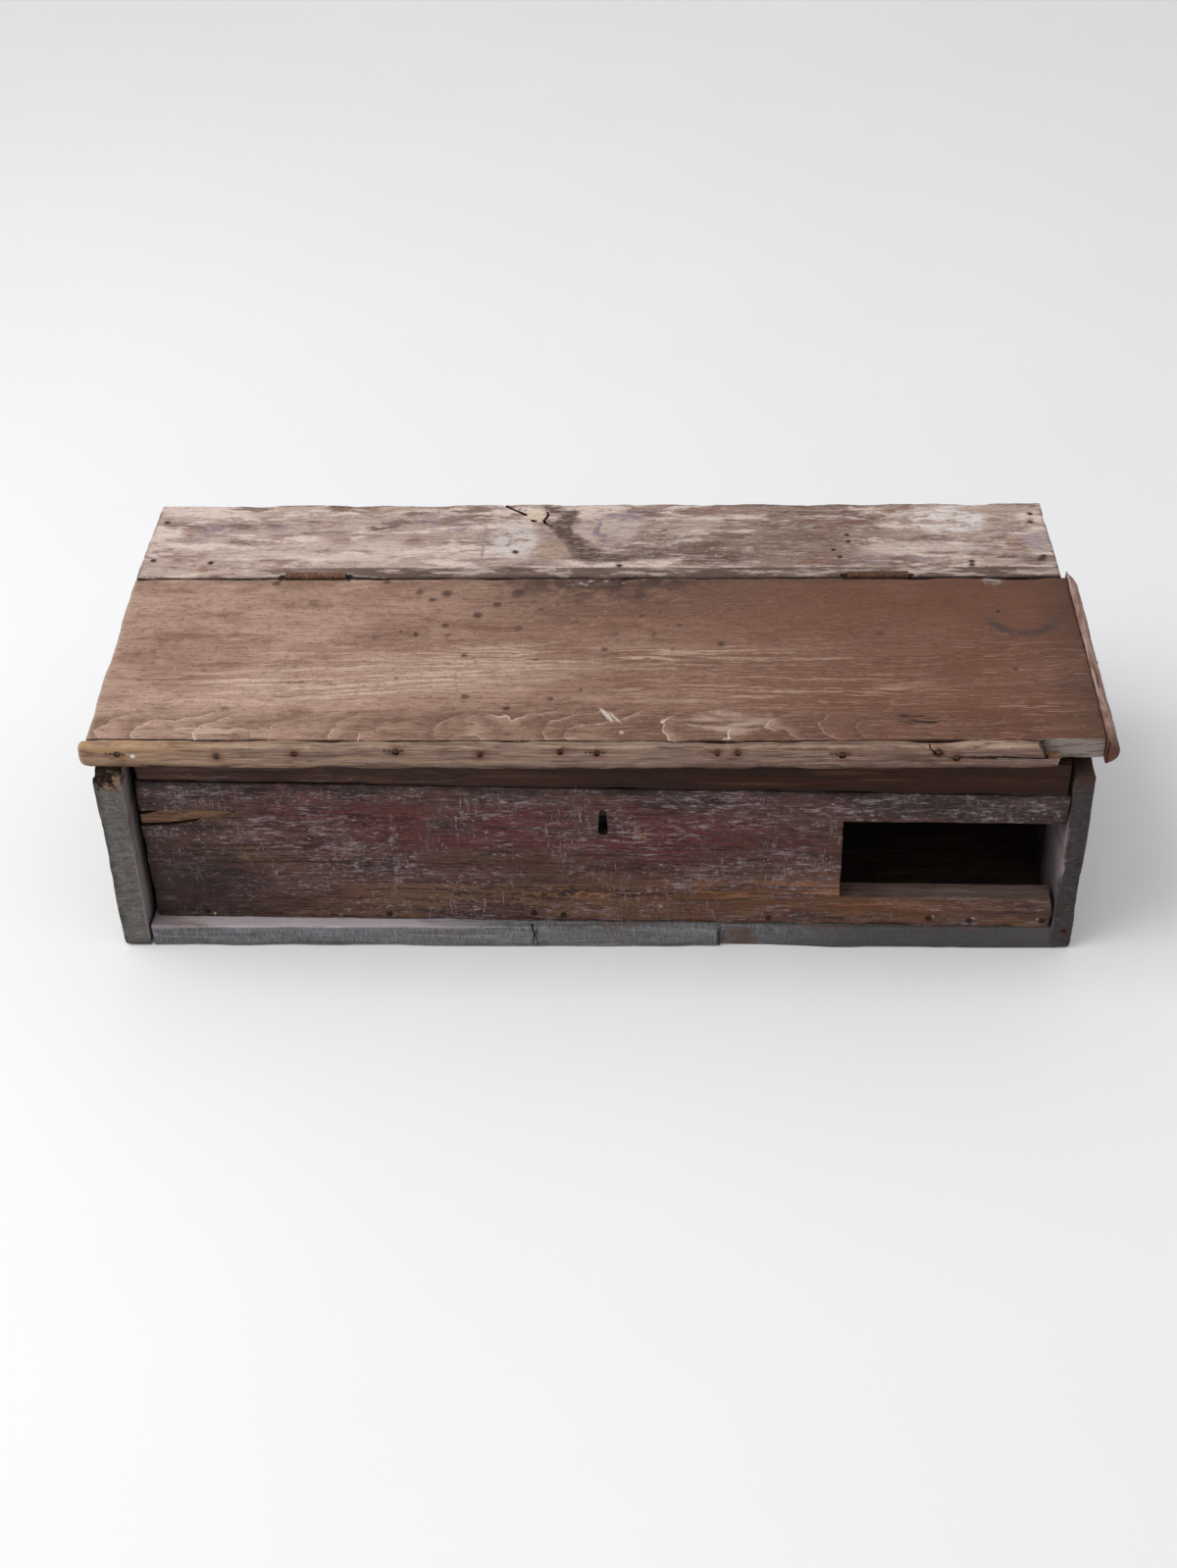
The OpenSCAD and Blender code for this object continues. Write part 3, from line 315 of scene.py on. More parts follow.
# Softwood with the remains of whitewash over grey-brown weathered grain, and a dark swirl round a knot
rearTop = lidPlane["topZ"]
rearNails = ((-446, 162.5), (-446, 86.5), (-387, 81.5), (-82, 101.5), (23, 74.5), (373, 81.5),
             (372.5, 75.5), (444, 175.5), (442, 159), (445, 90.5), (442.5, 85.5))
rearMarks = ((253.5, 134.5), (253.5, 121.5), (237.5, 104.5), (243.4, 90.5))
rearNailMarks = [((x, y, rearTop), 5, 0.75) for x, y in rearNails]
rearNailMarks += [((x, y, rearTop), 3.6, 0.8) for x, y in rearMarks]
rearNotches = [((x, 56.5, 262), 4.2, 1) for x in hingeEnds]
knotSpots = ((-88, 193, 3, 0.8), (-82, 188, 3, 0.9), (-76, 185, 3, 0.8), (-56, 166, 2.4, 0.9),
             (-52, 178, 2.2, 0.8), (-53, 170, 2.4, 0.9), (-50, 165, 2.2, 0.8), (-51, 158, 2.4, 0.9),
             (-48, 152, 2.2, 0.8))
knotMarks = [((x, y, rearTop), radius, dark) for x, y, radius, dark in knotSpots]
swirl = "#523d34"
whitewashedWood = makeFinish("whitewashedSoftwood", {
    "base": "#9f887d", "rough": (0.7, 0.86), "sway": 6, "rag": 15,
    "layers": [
        ("#b59e92", 0.85, fade("X", (-60, -260))),
        ("#8c7468", 0.8, fade("X", (0, 120))),
        ("#b7a195", 0.7, fade("X", (270, 360))),
        ("#dcc8bd", 0.88, streaks((80, 26), (0.49, 0.57), seed=21, detail=7, rough=0.68)),
        ("#664d43", 0.82, streaks((70, 18), (0.525, 0.61), seed=22, detail=7, rough=0.68)),
        ("#835d4d", 0.72, streaks((50, 22), (0.53, 0.62), seed=40, detail=7, rough=0.7)),
        ("#837379", 0.7, streaks((44, 24), (0.55, 0.65), seed=23, detail=6, rough=0.7)),
        ("#d0baaf", 0.75, patch((-263, 100), (190, 34), soft=0.2),
         streaks((70, 16), (0.38, 0.56), seed=24, detail=6)),
        ("#7d6f77", 0.8, patch((-392, 150), (34, 24), soft=0.2),
         streaks((18, 9), (0.38, 0.56), seed=25, detail=5)),
        ("#85767c", 0.65, patch((-170, 165), (70, 20), soft=0.2),
         streaks((24, 10), (0.44, 0.58), seed=42, detail=5)),
        ("#826456", 0.7, patch((-240, 138), (70, 10), soft=0.2), streaks((60, 8), (0.4, 0.56), seed=43)),
        ("#735a4c", 0.8, patch((175, 124), (165, 60), soft=0.3),
         streaks((50, 24), (0.36, 0.6), seed=26, detail=6)),
        ("#4f3d34", 0.85, patch((95, 98), (90, 28), soft=0.2),
         streaks((20, 9), (0.44, 0.58), seed=27, detail=6, rough=0.7)),
        ("#4f3b32", 0.8, patch((60, 130), (60, 30), soft=0.2),
         streaks((10, 8), (0.5, 0.62), seed=44, detail=6, rough=0.7)),
        ("#cdc1bc", 0.9, patch((-83, 122), (34, 48), soft=0.5),
         streaks((22, 12), (0.36, 0.5), seed=28, detail=6)),
        ("#bba9a0", 0.82, patch((12, 148), (50, 38), soft=0.55),
         streaks((24, 14), (0.36, 0.52), seed=29, detail=6)),
        ("#b9a396", 0.75, patch((108, 156), (66, 18), soft=0.4),
         streaks((40, 12), (0.36, 0.54), seed=30, detail=6)),
        ("#7d6e7b", 0.8, patch((3, 140), (6, 42), turn=(0, 0, 6))),
        ("#83747f", 0.75, patch((26, 172), (28, 8), turn=(0, 0, -12))),
        ("#8f818b", 0.8, patch((-115, 122), (2.6, 50), line="fleck")),
        ("#d3bca6", 0.85, patch((-66, 171), (15, 17), turn=(0, 0, -30), soft=0.4)),
        ("#9b8271", 0.85, patch((-38, 104), (30, 30), turn=(0, 0, 20), soft=0.4)),
        (swirl, 0.92, patch((-46, 188), (15, 10), turn=(0, 0, -30), soft=0.4)),
        (swirl, 0.95, patch((-31, 168), (15, 22), soft=0.5)),
        (swirl, 0.95, patch((-36, 147), (14, 26), turn=(0, 0, 12), soft=0.5)),
        (swirl, 0.92, patch((-23, 120), (17, 28), turn=(0, 0, 26), soft=0.4)),
        (swirl, 0.88, patch((-8, 97), (26, 20), turn=(0, 0, 10), soft=0.3)),
        ("#5d4336", 0.85, patch((-96, 195), (16, 2.4), turn=(0, 0, -30), line="fleck")),
        ("#57453e", 0.85, patch((14, 88), (60, 14), soft=0.3),
         streaks((20, 8), (0.34, 0.52), seed=45, detail=5)),
        ("#5b473d", 0.75, patch((85, 104), (78, 30), soft=0.3),
         streaks((30, 9), (0.38, 0.56), seed=139, detail=6, rough=0.7)),
        ("#e0d7d3", 0.92, patch((358, 164), (50, 34), soft=0.5),
         streaks((26, 8), (0.42, 0.53), seed=31, detail=6, rough=0.7)),
        ("#c6b3a9", 0.8, patch((330, 104), (95, 20), soft=0.3),
         streaks((50, 12), (0.36, 0.54), seed=32, detail=6)),
        ("#785343", 0.7, arc((262, 138, rearTop), radius=24, width=6), fade("Y", (138, 152), line="mm")),
        ("#9a8c93", 0.65, patch((443, 122), (18, 30), soft=0.3)),
        ("#503f37", 0.85, patch((-222, 150), (17, 5), soft=0.3)),
        ("#4f3e36", 0.8, patch((-300, 197), (160, 6), soft=0.2), streaks((50, 8), (0.42, 0.55), seed=33)),
        ("#5a473f", 0.7, patch((230, 194), (120, 7), soft=0.2), streaks((40, 8), (0.44, 0.56), seed=46)),
        ("#55423a", 0.4, streaks((100, 1.5), (0.54, 0.66), seed=34, detail=2)),
        ("#5a453c", 0.45, streaks((8, 2.4), (0.53, 0.64), seed=58, detail=7, rough=0.8)),
        ("#e4d8d0", 0.4, streaks((7, 2.4), (0.54, 0.65), seed=59, detail=7, rough=0.8)),
        ("#d4c4bd", 0.5, streaks((45, 1.5), (0.56, 0.67), seed=35, detail=2)),
        ("#58443c", 0.45, streaks((6, 3.5), (0.6, 0.7), seed=47, detail=3)),
        ("#57433e", 0.9, fade("Y", (73.5, 70), line="fleck"), fade("X", (-380, -220)),
         streaks((90, 16), (0.26, 0.5), seed=36, detail=5)),
        # Dark, then near black, along the front edge at the gap against the lid: painted shade
        ("#3b2c28", 0.8, fade("Y", (58, 54), line="fleck")),
        ("#1c120e", 0.92, fade("Y", (55, 53.4), line="mm")),
        # A pale line along the arris behind the worn chamfer: painted highlight
        ("#cebfb7", 0.7, patch((0, 72.5), (0, 2.4), line="fleck"), streaks((60, 9), (0.5, 0.6), seed=37)),
        ("#b7a49a", 0.8, patch((0, 62), (0, 6)), streaks((40, 6), (0.48, 0.58), seed=38, detail=6)),
        ("#271a16", 0.9, roundMarks(knotMarks, soft=0.2), streaks((6, 6), (0.4, 0.55), seed=48)),
        ("#302019", 0.92, roundMarks(rearNailMarks, soft=0.3)),
        ("#120b08", 0.95, roundMarks(rearNotches, soft=0.7)),
        ("#46352e", 0.65, arrises((-457, 40, 242), (457, 197.5, 264), reach=4),
         streaks((40, 40, 20), (0.36, 0.6), seed=39)),
    ],
    "relief": [
        (0.35, streaks((100, 1.6), (0.35, 0.7), seed=34, detail=2)),
        (0.5, streaks((110, 9), (0.3, 0.7), seed=22, detail=6)),
    ]})

# Bare softwood strip: tan where it is worn, grey in the grain, rust round its nails and a few worm holes
mouldingNails = ((-428, -10.5), (-338, -12.5), (-267, -9.5), (-175, -6.5), (-99, -9.5), (-27, -6.5),
                 (6, -8.5), (114, -8.5), (132.5, -8.5), (226, -10.5), (311, -7.5), (328, -14))
mouldingNailMarks = [((x, -254, z), 4.6, 0.9) for x, z in mouldingNails]
mouldingRust = [((x, -254, z), 10, 0.8) for x, z in mouldingNails]
wormHoles = [((x + s, -254, z + 0.4), 2.2, 0.9) for x, z in mouldingNails[::3] for s in (-10, -6, 6)]
bareMouldingWood = makeFinish("weatheredBareSoftwood", {
    "frame": lidFrame, "base": "#8a7063", "rough": (0.66, 0.84), "sway": 3, "rag": 8,
    "layers": [
        ("#9e795b", 0.7, fade("X", (-250, -440))),
        ("#765b51", 0.75, fade("X", (60, 330))),
        ("#79645f", 0.6, streaks((60, 10), (0.46, 0.62), seed=41, detail=6)),
        ("#ad9074", 0.7, streaks((90, 6), (0.5, 0.63), seed=42, detail=6), fade("X", (200, -300))),
        ("#997f6d", 0.55, streaks((70, 5), (0.52, 0.64), seed=49, detail=6)),
        ("#583f33", 0.7, streaks((80, 5), (0.54, 0.65), seed=43, detail=6)),
        ("#653b2d", 0.5, streaks((24, 8), (0.56, 0.67), seed=50, detail=5)),
        ("#3a261d", 0.65, streaks((70, 1.3), (0.55, 0.65), seed=44, detail=2)),
        ("#c1a88f", 0.5, streaks((50, 1.3), (0.56, 0.67), seed=45, detail=2)),
        # Darker along its lower edge: painted shade on the rounded underside
        ("#3c281f", 0.75, fade("Z", (-19, -26), line="fleck"), streaks((60, 10), (0.3, 0.55), seed=46)),
        ("#6a3c25", 0.75, roundMarks(mouldingRust, soft=0.1)),
        ("#b89268", 0.7, patch((-430, -250, -3), (90, 0, 7), soft=0.2),
         streaks((30, 6), (0.36, 0.56), seed=56, detail=6)),
        ("#ab9080", 0.7, patch((352, -250, -1.5), (50, 0, 4), line="fleck"),
         streaks((26, 5), (0.4, 0.54), seed=57, detail=5)),
        ("#281812", 0.9, roundMarks(wormHoles, soft=0.3)),
        ("#2a1811", 0.95, roundMarks(mouldingNailMarks, soft=0.3)),
        ("#2c1c16", 0.9, patch((356, -254, -13.6), (52, 0, 2.4), line="fleck")),
        ("#2c1c16", 0.8, patch((312, -254, -10), (7, 0, 6), line="fleck")),
        ("#e6e2e1", 0.95, roundMarks([((-414, -254, -13), 2.4, 1)])),
        ("#c6ac90", 0.6, arrises((-464, -254.2, -40), (422, -200, 0), reach=5),
         streaks((40, 10), (0.36, 0.58), seed=55)),
    ],
    "relief": [
        (0.35, streaks((70, 1.5), (0.35, 0.7), seed=44, detail=2)),
        (0.6, streaks((80, 5), (0.3, 0.7), seed=43, detail=6)),
    ]})

# Half-round strip with a reddish stain, rubbed pale along its top
stainedCleatWood = makeFinish("redStainedSoftwood", {
    "frame": lidFrame, "base": "#856052", "rough": (0.6, 0.78), "sway": 2, "rag": 6,
    "layers": [
        ("#9c7769", 0.75, streaks((5, 60, 5), (0.46, 0.6), seed=51, detail=6)),
        ("#664032", 0.7, streaks((3, 80, 3), (0.5, 0.64), seed=52, detail=6)),
        ("#bda59b", 0.7, fade("Z", (-7, 1), line="fleck"),
         streaks((8, 40, 8), (0.38, 0.56), seed=53, detail=6)),
        ("#52352b", 0.75, fade("Y", (-220, -248))),
        ("#41251c", 0.6, streaks((1.3, 60, 1.3), (0.56, 0.66), seed=54, detail=2)),
    ],
    "relief": [
        (0.3, streaks((1.5, 70, 1.5), (0.35, 0.7), seed=54, detail=2)),
        (0.4, streaks((5, 60, 5), (0.3, 0.7), seed=51, detail=6)),
    ]})

# Dark brown wood, mostly in the lid's shade, its colour darkened further with painted shade from the lid's
# overhang: dull, with a few greyed rubs
shadedLipWood = makeFinish("darkSoftwoodWithPaintedShade", {
    "frame": panelFrame, "base": "#3a261f", "rough": (0.6, 0.76), "sway": 4, "rag": 12,
    "layers": [
        ("#311508", 0.92, fade("X", (200, 600))),
        ("#25150e", 0.8, streaks((140, 9), (0.46, 0.62), seed=61, detail=6)),
        ("#543827", 0.65, streaks((110, 5), (0.54, 0.66), seed=62, detail=6)),
        ("#655856", 0.75, streaks((30, 3), (0.55, 0.64), seed=63, detail=6), fade("X", (420, 60))),
        ("#4a2d26", 0.5, streaks((60, 14), (0.5, 0.64), seed=65), fade("X", (500, 200))),
        ("#190e08", 0.6, streaks((100, 1.4), (0.55, 0.66), seed=64, detail=2)),
        ("#1a0f0a", 0.6, arrises((2.5, 0, 186), (856.6, 22, 224), reach=5)),
    ],
    "relief": [
        (0.3, streaks((100, 1.5), (0.35, 0.7), seed=64, detail=2)),
        (0.5, streaks((110, 5), (0.3, 0.7), seed=62, detail=6)),
    ]})

# Old oil paint, scoured thin: maroon where it holds, lavender-grey where it chalked, brown where it is gone
panelNails = ((48.5, 31.5), (226.5, 31), (366.5, 34), (394.5, 33), (591, 32), (743, 34), (781.5, 32),
              (850.5, 33))
panelHoles = [((x, 0, z), 3.4, 0.95) for x, z in panelNails]
# Pale dots on the lower nails: painted highlights
panelPaintedGlints = [((56, 0, 28.5), 1.9, 0.85), ((747, 0, 36.5), 1.4, 0.6), ((785, 0, 35), 1.7, 0.65),
               ((846, 0, 35), 1.6, 0.6)]
maroonPaint = makeFinish("scouredMaroonPaint", {
    "frame": panelFrame, "base": "#4f3330", "rough": (0.55, 0.75), "sway": 4, "rag": 20, "gloss": 0.22,
    "layers": [
        ("#523c30", 0.6, streaks((110, 40), (0.48, 0.6), seed=71, detail=7, rough=0.65)),
        ("#2b1d1a", 0.85, streaks((80, 22), (0.51, 0.62), seed=72, detail=7, rough=0.7)),
        ("#2f2320", 0.7, fade("X", (160, 0)), streaks((60, 40), (0.3, 0.6), seed=87, detail=5)),
        ("#6e503b", 0.8, fade("Z", (98, 56)), fade("X", (60, 300)),
         streaks((130, 14), (0.43, 0.58), seed=73, detail=7)),
        ("#8c5b3d", 0.8, patch((650, 0, 62), (300, 0, 36), soft=0.1),
         streaks((90, 9), (0.45, 0.58), seed=74, detail=7)),
        ("#705940", 0.7, patch((130, 0, 108), (120, 0, 32), soft=0.1),
         streaks((60, 14), (0.44, 0.58), seed=88, detail=7)),
        ("#2f2526", 0.85, patch((760, 0, 168), (180, 0, 26), soft=0.2),
         streaks((50, 12), (0.4, 0.56), seed=75, detail=7, rough=0.7)),
        ("#582628", 0.88, patch((400, 0, 132), (380, 0, 54), soft=0.3),
         streaks((90, 16), (0.43, 0.54), seed=76, detail=7, rough=0.7)),
        ("#5f2a2b", 0.75, patch((150, 0, 160), (150, 0, 24), soft=0.1),
         streaks((50, 12), (0.46, 0.57), seed=69, detail=7, rough=0.7)),
        ("#1d120e", 0.75, streaks((130, 1.8), (0.53, 0.63), seed=77, detail=3)),
        ("#7d5b47", 0.45, streaks((7, 2), (0.53, 0.63), seed=68, detail=7, rough=0.78)),
        ("#150c0a", 0.8, streaks((12, 4), (0.54, 0.63), seed=99, detail=7, rough=0.78)),
        ("#1f1410", 0.8, patch((420, 0, 56), (150, 0, 3.5)), streaks((60, 6), (0.4, 0.54), seed=89)),
        ("#986a41", 0.7, patch((470, 0, 62), (190, 0, 2.6)), streaks((50, 6), (0.42, 0.56), seed=90)),
        ("#938589", 0.76, streaks((18, 3.2), (0.52, 0.62), seed=78, detail=8, rough=0.78),
         streaks((110, 34), (0.43, 0.57), seed=79, detail=6)),
        ("#9c9094", 0.78, streaks((7, 3.2), (0.54, 0.62), seed=80, detail=8, rough=0.8),
         streaks((60, 24), (0.46, 0.58), seed=81, detail=6)),
        ("#968b8f", 0.75, streaks((2, 14), (0.56, 0.635), seed=82, detail=7, rough=0.78),
         streaks((60, 60), (0.47, 0.6), seed=83)),
        ("#91868c", 0.75, streaks((16, 3), (0.53, 0.61), seed=98, detail=8, rough=0.78),
         fade("Z", (160, 174)), streaks((90, 40), (0.36, 0.56), seed=67)),
        ("#867a7f", 0.7, patch((236, 0, 100), (5, 0, 62)),
         streaks((8, 6, 9), (0.44, 0.58), seed=84, detail=6)),
        ("#5c3a26", 0.88, patch((650, 0, 50), (330, 0, 34), soft=0.2),
         streaks((60, 7), (0.41, 0.54), seed=132, detail=6)),
        ("#3c2522", 0.6, patch((815, 0, 46), (80, 0, 22), soft=0.2),
         streaks((40, 9), (0.4, 0.56), seed=140, detail=6)),
        ("#8a7f83", 0.55, patch((800, 0, 52), (90, 0, 22), soft=0.2),
         streaks((16, 2.8), (0.52, 0.61), seed=141, detail=8, rough=0.78)),
        ("#271c1a", 0.72, patch((770, 0, 178), (150, 0, 18), soft=0.2),
         streaks((40, 8), (0.4, 0.55), seed=133, detail=6)),
        ("#93673b", 0.85, patch((468, 0, 134), (2.2, 0, 19), turn=(0, -42, 0), line="fleck"),
         streaks((4, 4), (0.44, 0.56), seed=85)),
        ("#9c7350", 0.75, patch((474, 0, 134), (2, 0, 7), turn=(0, 20, 0), line="fleck"),
         streaks((3, 3), (0.4, 0.54), seed=134)),
        # A dark band along the top edge, under the lip: painted shade
        ("#1d1412", 0.8, fade("Z", (174, 187)), streaks((80, 20), (0.28, 0.5), seed=135)),
        ("#201512", 0.8, arrises((0, 0, 20), (859.6, 22, 190), reach=8),
         streaks((50, 20), (0.3, 0.6), seed=86)),
        ("#201614", 0.65, patch((20, 0, 60), (150, 0, 80), soft=0.1)),
        ("#190f0b", 0.9, roundMarks(panelHoles, soft=0.8)),
        ("#c2b09c", 0.85, roundMarks(panelPaintedGlints)),
    ],
    "relief": [
        (0.3, streaks((130, 1.8), (0.35, 0.7), seed=77, detail=3)),
        (0.4, streaks((130, 9), (0.3, 0.7), seed=73, detail=6)),
        (0.12, streaks((26, 2.6), (0.54, 0.62), seed=78, detail=8, rough=0.75)),
    ]})


# Slate-grey paint rubbed back to the wood, with saw marks; in the ends the grain runs from front to back
def slateLook(lengthwise, base, pale, brown, deep):
    def run(along, across):
        return (along, across, across) if lengthwise else (across, along, across)
    sawMarks = (1.6, 9, 9) if lengthwise else (9, 60, 1.8)
    return {
        "base": base, "rough": (0.6, 0.8), "sway": 4, "rag": 12,
        "layers": [
            (brown, 0.55, streaks(run(90, 20), (0.48, 0.64), seed=91, detail=6)),
            (deep, 0.65, streaks(run(110, 9), (0.52, 0.65), seed=94, detail=6)),
            (pale, 0.6, streaks(run(60, 7), (0.52, 0.65), seed=93, detail=6, rough=0.7)),
            (deep, 0.65, streaks(sawMarks, (0.52, 0.62), seed=106, detail=4)),
            (pale, 0.5, streaks(sawMarks, (0.54, 0.64), seed=107, detail=4)),
            ("#3a3533", 0.5, streaks(run(80, 1.6), (0.55, 0.66), seed=95, detail=2)),
            ("#332b27", 0.5, streaks((5, 5), (0.6, 0.7), seed=108, detail=4)),
            ("#4a4442", 0.5, fade("Z", (12, 0)), streaks((40, 40, 9), (0.3, 0.6), seed=97)),
        ],
        "relief": [
            (0.3, streaks(run(80, 1.7), (0.35, 0.7), seed=95, detail=2)),
            (0.35, streaks(sawMarks, (0.3, 0.7), seed=106, detail=3)),
            (0.5, streaks(run(110, 9), (0.3, 0.7), seed=94, detail=6)),
        ]}


boardTop = fade("Z", (21.5, 24), line="mm")
longLook = slateLook(True, "#727275", "#949397", "#6a625e", "#504f52")
longLook["layers"] += [
    ("#464241", 0.85, fade("X", (90, 280))),
    # The ledge's top face is painted much paler than the board's front: painted light on the upward face
    ("#b9aeb3", 0.92, boardTop, fade("X", (-60, -200)), streaks((90, 20), (0.2, 0.4), seed=109, detail=5)),
    ("#7a6d6d", 0.7, boardTop, fade("X", (-360, -420))),
    ("#6a4a3c", 0.55, fade("Z", (22, 24.4), line="fleck"),
     streaks((50, 9), (0.56, 0.64), seed=110, detail=6)),
    ("#5b4335", 0.75, patch((138, -197, 8), (24, 0, 20), soft=0.5),
     streaks((20, 10), (0.34, 0.54), seed=114, detail=5)),
    ("#2a2321", 0.9, patch((120, -195, 12), (2.4, 0, 18), line="fleck")),
    ("#2c2523", 0.85, patch((-57, -197, 14), (2.2, 0, 16), turn=(0, 14, 0), line="fleck")),
]
slateLong = makeFinish("rubbedSlatePaintLengthwise", longLook)
backLook = slateLook(True, "#5d5a58", "#7d7a78", "#64564b", "#413e3d")
backLook["layers"] += [
    ("#6b5a4c", 0.75, streaks((280, 24, 26), (0.49, 0.62), seed=121, detail=8, rough=0.74)),
    ("#8d8682", 0.6, streaks((130, 9, 11), (0.53, 0.63), seed=122, detail=8, rough=0.74)),
    ("#2f2927", 0.7, arrises((-457, 170, 0), (457, 197.5, 242), reach=9),
     streaks((40, 40, 20), (0.34, 0.58), seed=123)),
]
slateBack = makeFinish("rubbedSlatePaintBack", backLook)
outerLeft = fade("X", (-454.6, -456.2), line="mm")
leftLook = slateLook(False, "#64615d", "#7d7b77", "#5f554d", "#484440")
leftLook["layers"] += [
    ("#968789", 0.85, fade("X", (-433, -431), line="mm"), streaks((20, 40), (0.3, 0.5), seed=115)),
    ("#87694f", 0.85, fade("Z", (188, 199)), fade("Y", (-166, -186)),
     streaks((14, 14), (0.34, 0.54), seed=116, detail=6)),
    ("#2c1b13", 0.9, fade("Z", (188, 198)), fade("Y", (-166, -186)),
     streaks((8, 8, 6), (0.46, 0.56), seed=117, detail=6)),
    ("#6a5748", 0.7, outerLeft, streaks((24, 220, 24), (0.49, 0.62), seed=124, detail=8, rough=0.74)),
    ("#8f8c89", 0.6, outerLeft, streaks((10, 110, 10), (0.53, 0.63), seed=125, detail=8, rough=0.74)),
    ("#2d2724", 0.7, arrises((-457, -197.5, 0), (-420, 177.5, 242), reach=9),
     streaks((40, 40, 20), (0.36, 0.6), seed=126)),
]
slateLeft = makeFinish("rubbedSlatePaintLeft", leftLook)
outerRight = fade("X", (455.4, 456.6), line="mm")
rightKnot = (449, -197.5, 21)
# The right end has the left end's slate paint, set much darker: partly painted shade, that end lying on the
# side away from the light
partShadedRightLook = slateLook(False, "#3c3837", "#504d4d", "#3a2e29", "#272321")
partShadedRightLook["layers"] += [
    ("#857679", 0.8, fade("X", (438.4, 437), line="mm"), fade("Y", (-100, -150)),
     streaks((20, 60), (0.3, 0.5), seed=118)),
    ("#94868a", 0.85, patch((436, -197, 108), (6, 60, 46), soft=0.3)),
    ("#5d5a57", 0.8, outerRight),
    ("#66574a", 0.7, outerRight, streaks((24, 220, 24), (0.49, 0.62), seed=127, detail=8, rough=0.74)),
    ("#7f7c7a", 0.6, outerRight, streaks((10, 110, 10), (0.53, 0.63), seed=128, detail=8, rough=0.74)),
    ("#3b3836", 0.7, outerRight, streaks((20, 120, 9), (0.53, 0.63), seed=129, detail=7, rough=0.7)),
    # Dark brown at the top of the front edge, under the lid: bare wood, darkened with painted shade from the
    # lid
    ("#43291f", 0.75, fade("Z", (180, 202)), fade("Y", (-150, -180)),
     streaks((14, 14), (0.36, 0.56), seed=119, detail=6)),
    ("#42241a", 0.7, patch((440, -197, 118), (4, 0, 14), line="fleck")),
    ("#43241a", 0.9, roundMarks([(rightKnot, 5.4, 0.9)], soft=0.5)),
    ("#57504f", 0.8, roundMarks([(rightKnot, 2.6, 0.9)], soft=0.5)),
]
partShadedSlateRight = makeFinish("rubbedSlatePaintRightPartShaded", partShadedRightLook)


# Bare wood that was never finished: inside faces, and raw wood where it has split
def bareLook(base, pale, dark):
    return {
        "base": base, "rough": (0.7, 0.86), "sway": 5, "rag": 14,
        "layers": [
            (pale, 0.6, streaks((140, 9), (0.48, 0.64), seed=101, detail=6)),
            (dark, 0.6, streaks((150, 6), (0.52, 0.66), seed=102, detail=6)),
            (dark, 0.5, streaks((60, 60), (0.48, 0.66), seed=103, detail=6)),
            (dark, 0.6, streaks((100, 1.5), (0.54, 0.66), seed=104, detail=2)),
            (dark, 0.6, streaks((5, 4), (0.62, 0.72), seed=105, detail=3)),
        ],
        "relief": [
            (0.4, streaks((100, 1.6), (0.35, 0.7), seed=104, detail=2)),
            (0.5, streaks((140, 7), (0.3, 0.7), seed=101, detail=6)),
        ]}


# Inside faces are set very dark: bare wood, darkened partly with painted shade for the closed chest's inside
shadedInnerWood = makeFinish("darkBareSoftwoodWithPaintedShade", bareLook("#362a24", "#4b3d34", "#211814"))
rawLook = bareLook("#6f5240", "#8d6b50", "#452e22")
rawLook["layers"] += [("#3f2a1c", 0.65, streaks((24, 2.4), (0.51, 0.61), seed=136, detail=5)),
                      ("#9d7e60", 0.55, streaks((18, 2), (0.54, 0.64), seed=137, detail=5))]
rawWood = makeFinish("splitSoftwood", rawLook)
sillWood = makeFinish("wornSillSoftwood", bareLook("#66524b", "#89766f", "#40312b"))
# Near black for the faces of rot holes, cracks, splits, pits and the keyhole: rotted wood, and painted shade
# in these hollows
rotAndShadeWood = makeFinish("rottedSoftwoodWithPaintedShade", bareLook("#2f2119", "#5d4630", "#160f0b"))


# Rusted iron, its pits drawn at twice their size so that they show; the lock and the bolt have other colours
def ironLook(base, bright, deep, metallic):
    return {
        "base": base, "rough": (0.6, 0.85), "sway": 1, "rag": 3, "metallic": metallic, "gloss": 0.4,
        "layers": [
            (bright, 0.7, streaks((9, 9), (0.5, 0.66), seed=111)),
            (deep, 0.75, streaks((5, 5), (0.52, 0.64), seed=112)),
            (deep, 0.5, streaks((1.2, 1.2), (0.56, 0.66), seed=113, detail=2)),
        ],
        "relief": [
            (0.2, streaks((1.4, 1.4), (0.35, 0.7), seed=113, detail=2)),
            (0.25, streaks((5, 5), (0.3, 0.7), seed=112)),
        ]}


hingeLook = ironLook("#694939", "#875e43", "#442e26", 0.2)
hingeLook["layers"] += [("#4c2f1e", 0.5, fade("X", (0, 250))),
                        # Near black along the barrel's front underside: painted shade
                        ("#23120e", 0.85, fade("Y", (51.8, 50.5), line="mm"))]
hingeIron = makeFinish("rustedHingeIron", hingeLook)
nailLook = ironLook("#4a3329", "#6d4a37", "#2a1e19", 0.2)
# The front panel's low nails are set near black: painted shade of the pits they sit in, over their rust
nailLook["layers"] += [("#0f0a08", 0.85, fade("Y", (-150, -170), line="mm"), fade("Z", (80, 60), line="mm"))]
nailIron = makeFinish("rustedNailIron", nailLook)
lockIron = makeFinish("dullLockIron", ironLook("#56504c", "#6f665f", "#3b332e", 0.7))
boltBrass = makeFinish("tarnishedBrass", ironLook("#94783f", "#b1934f", "#5d4a2b", 0.9))
print("finishes done", len(bpy.data.materials))


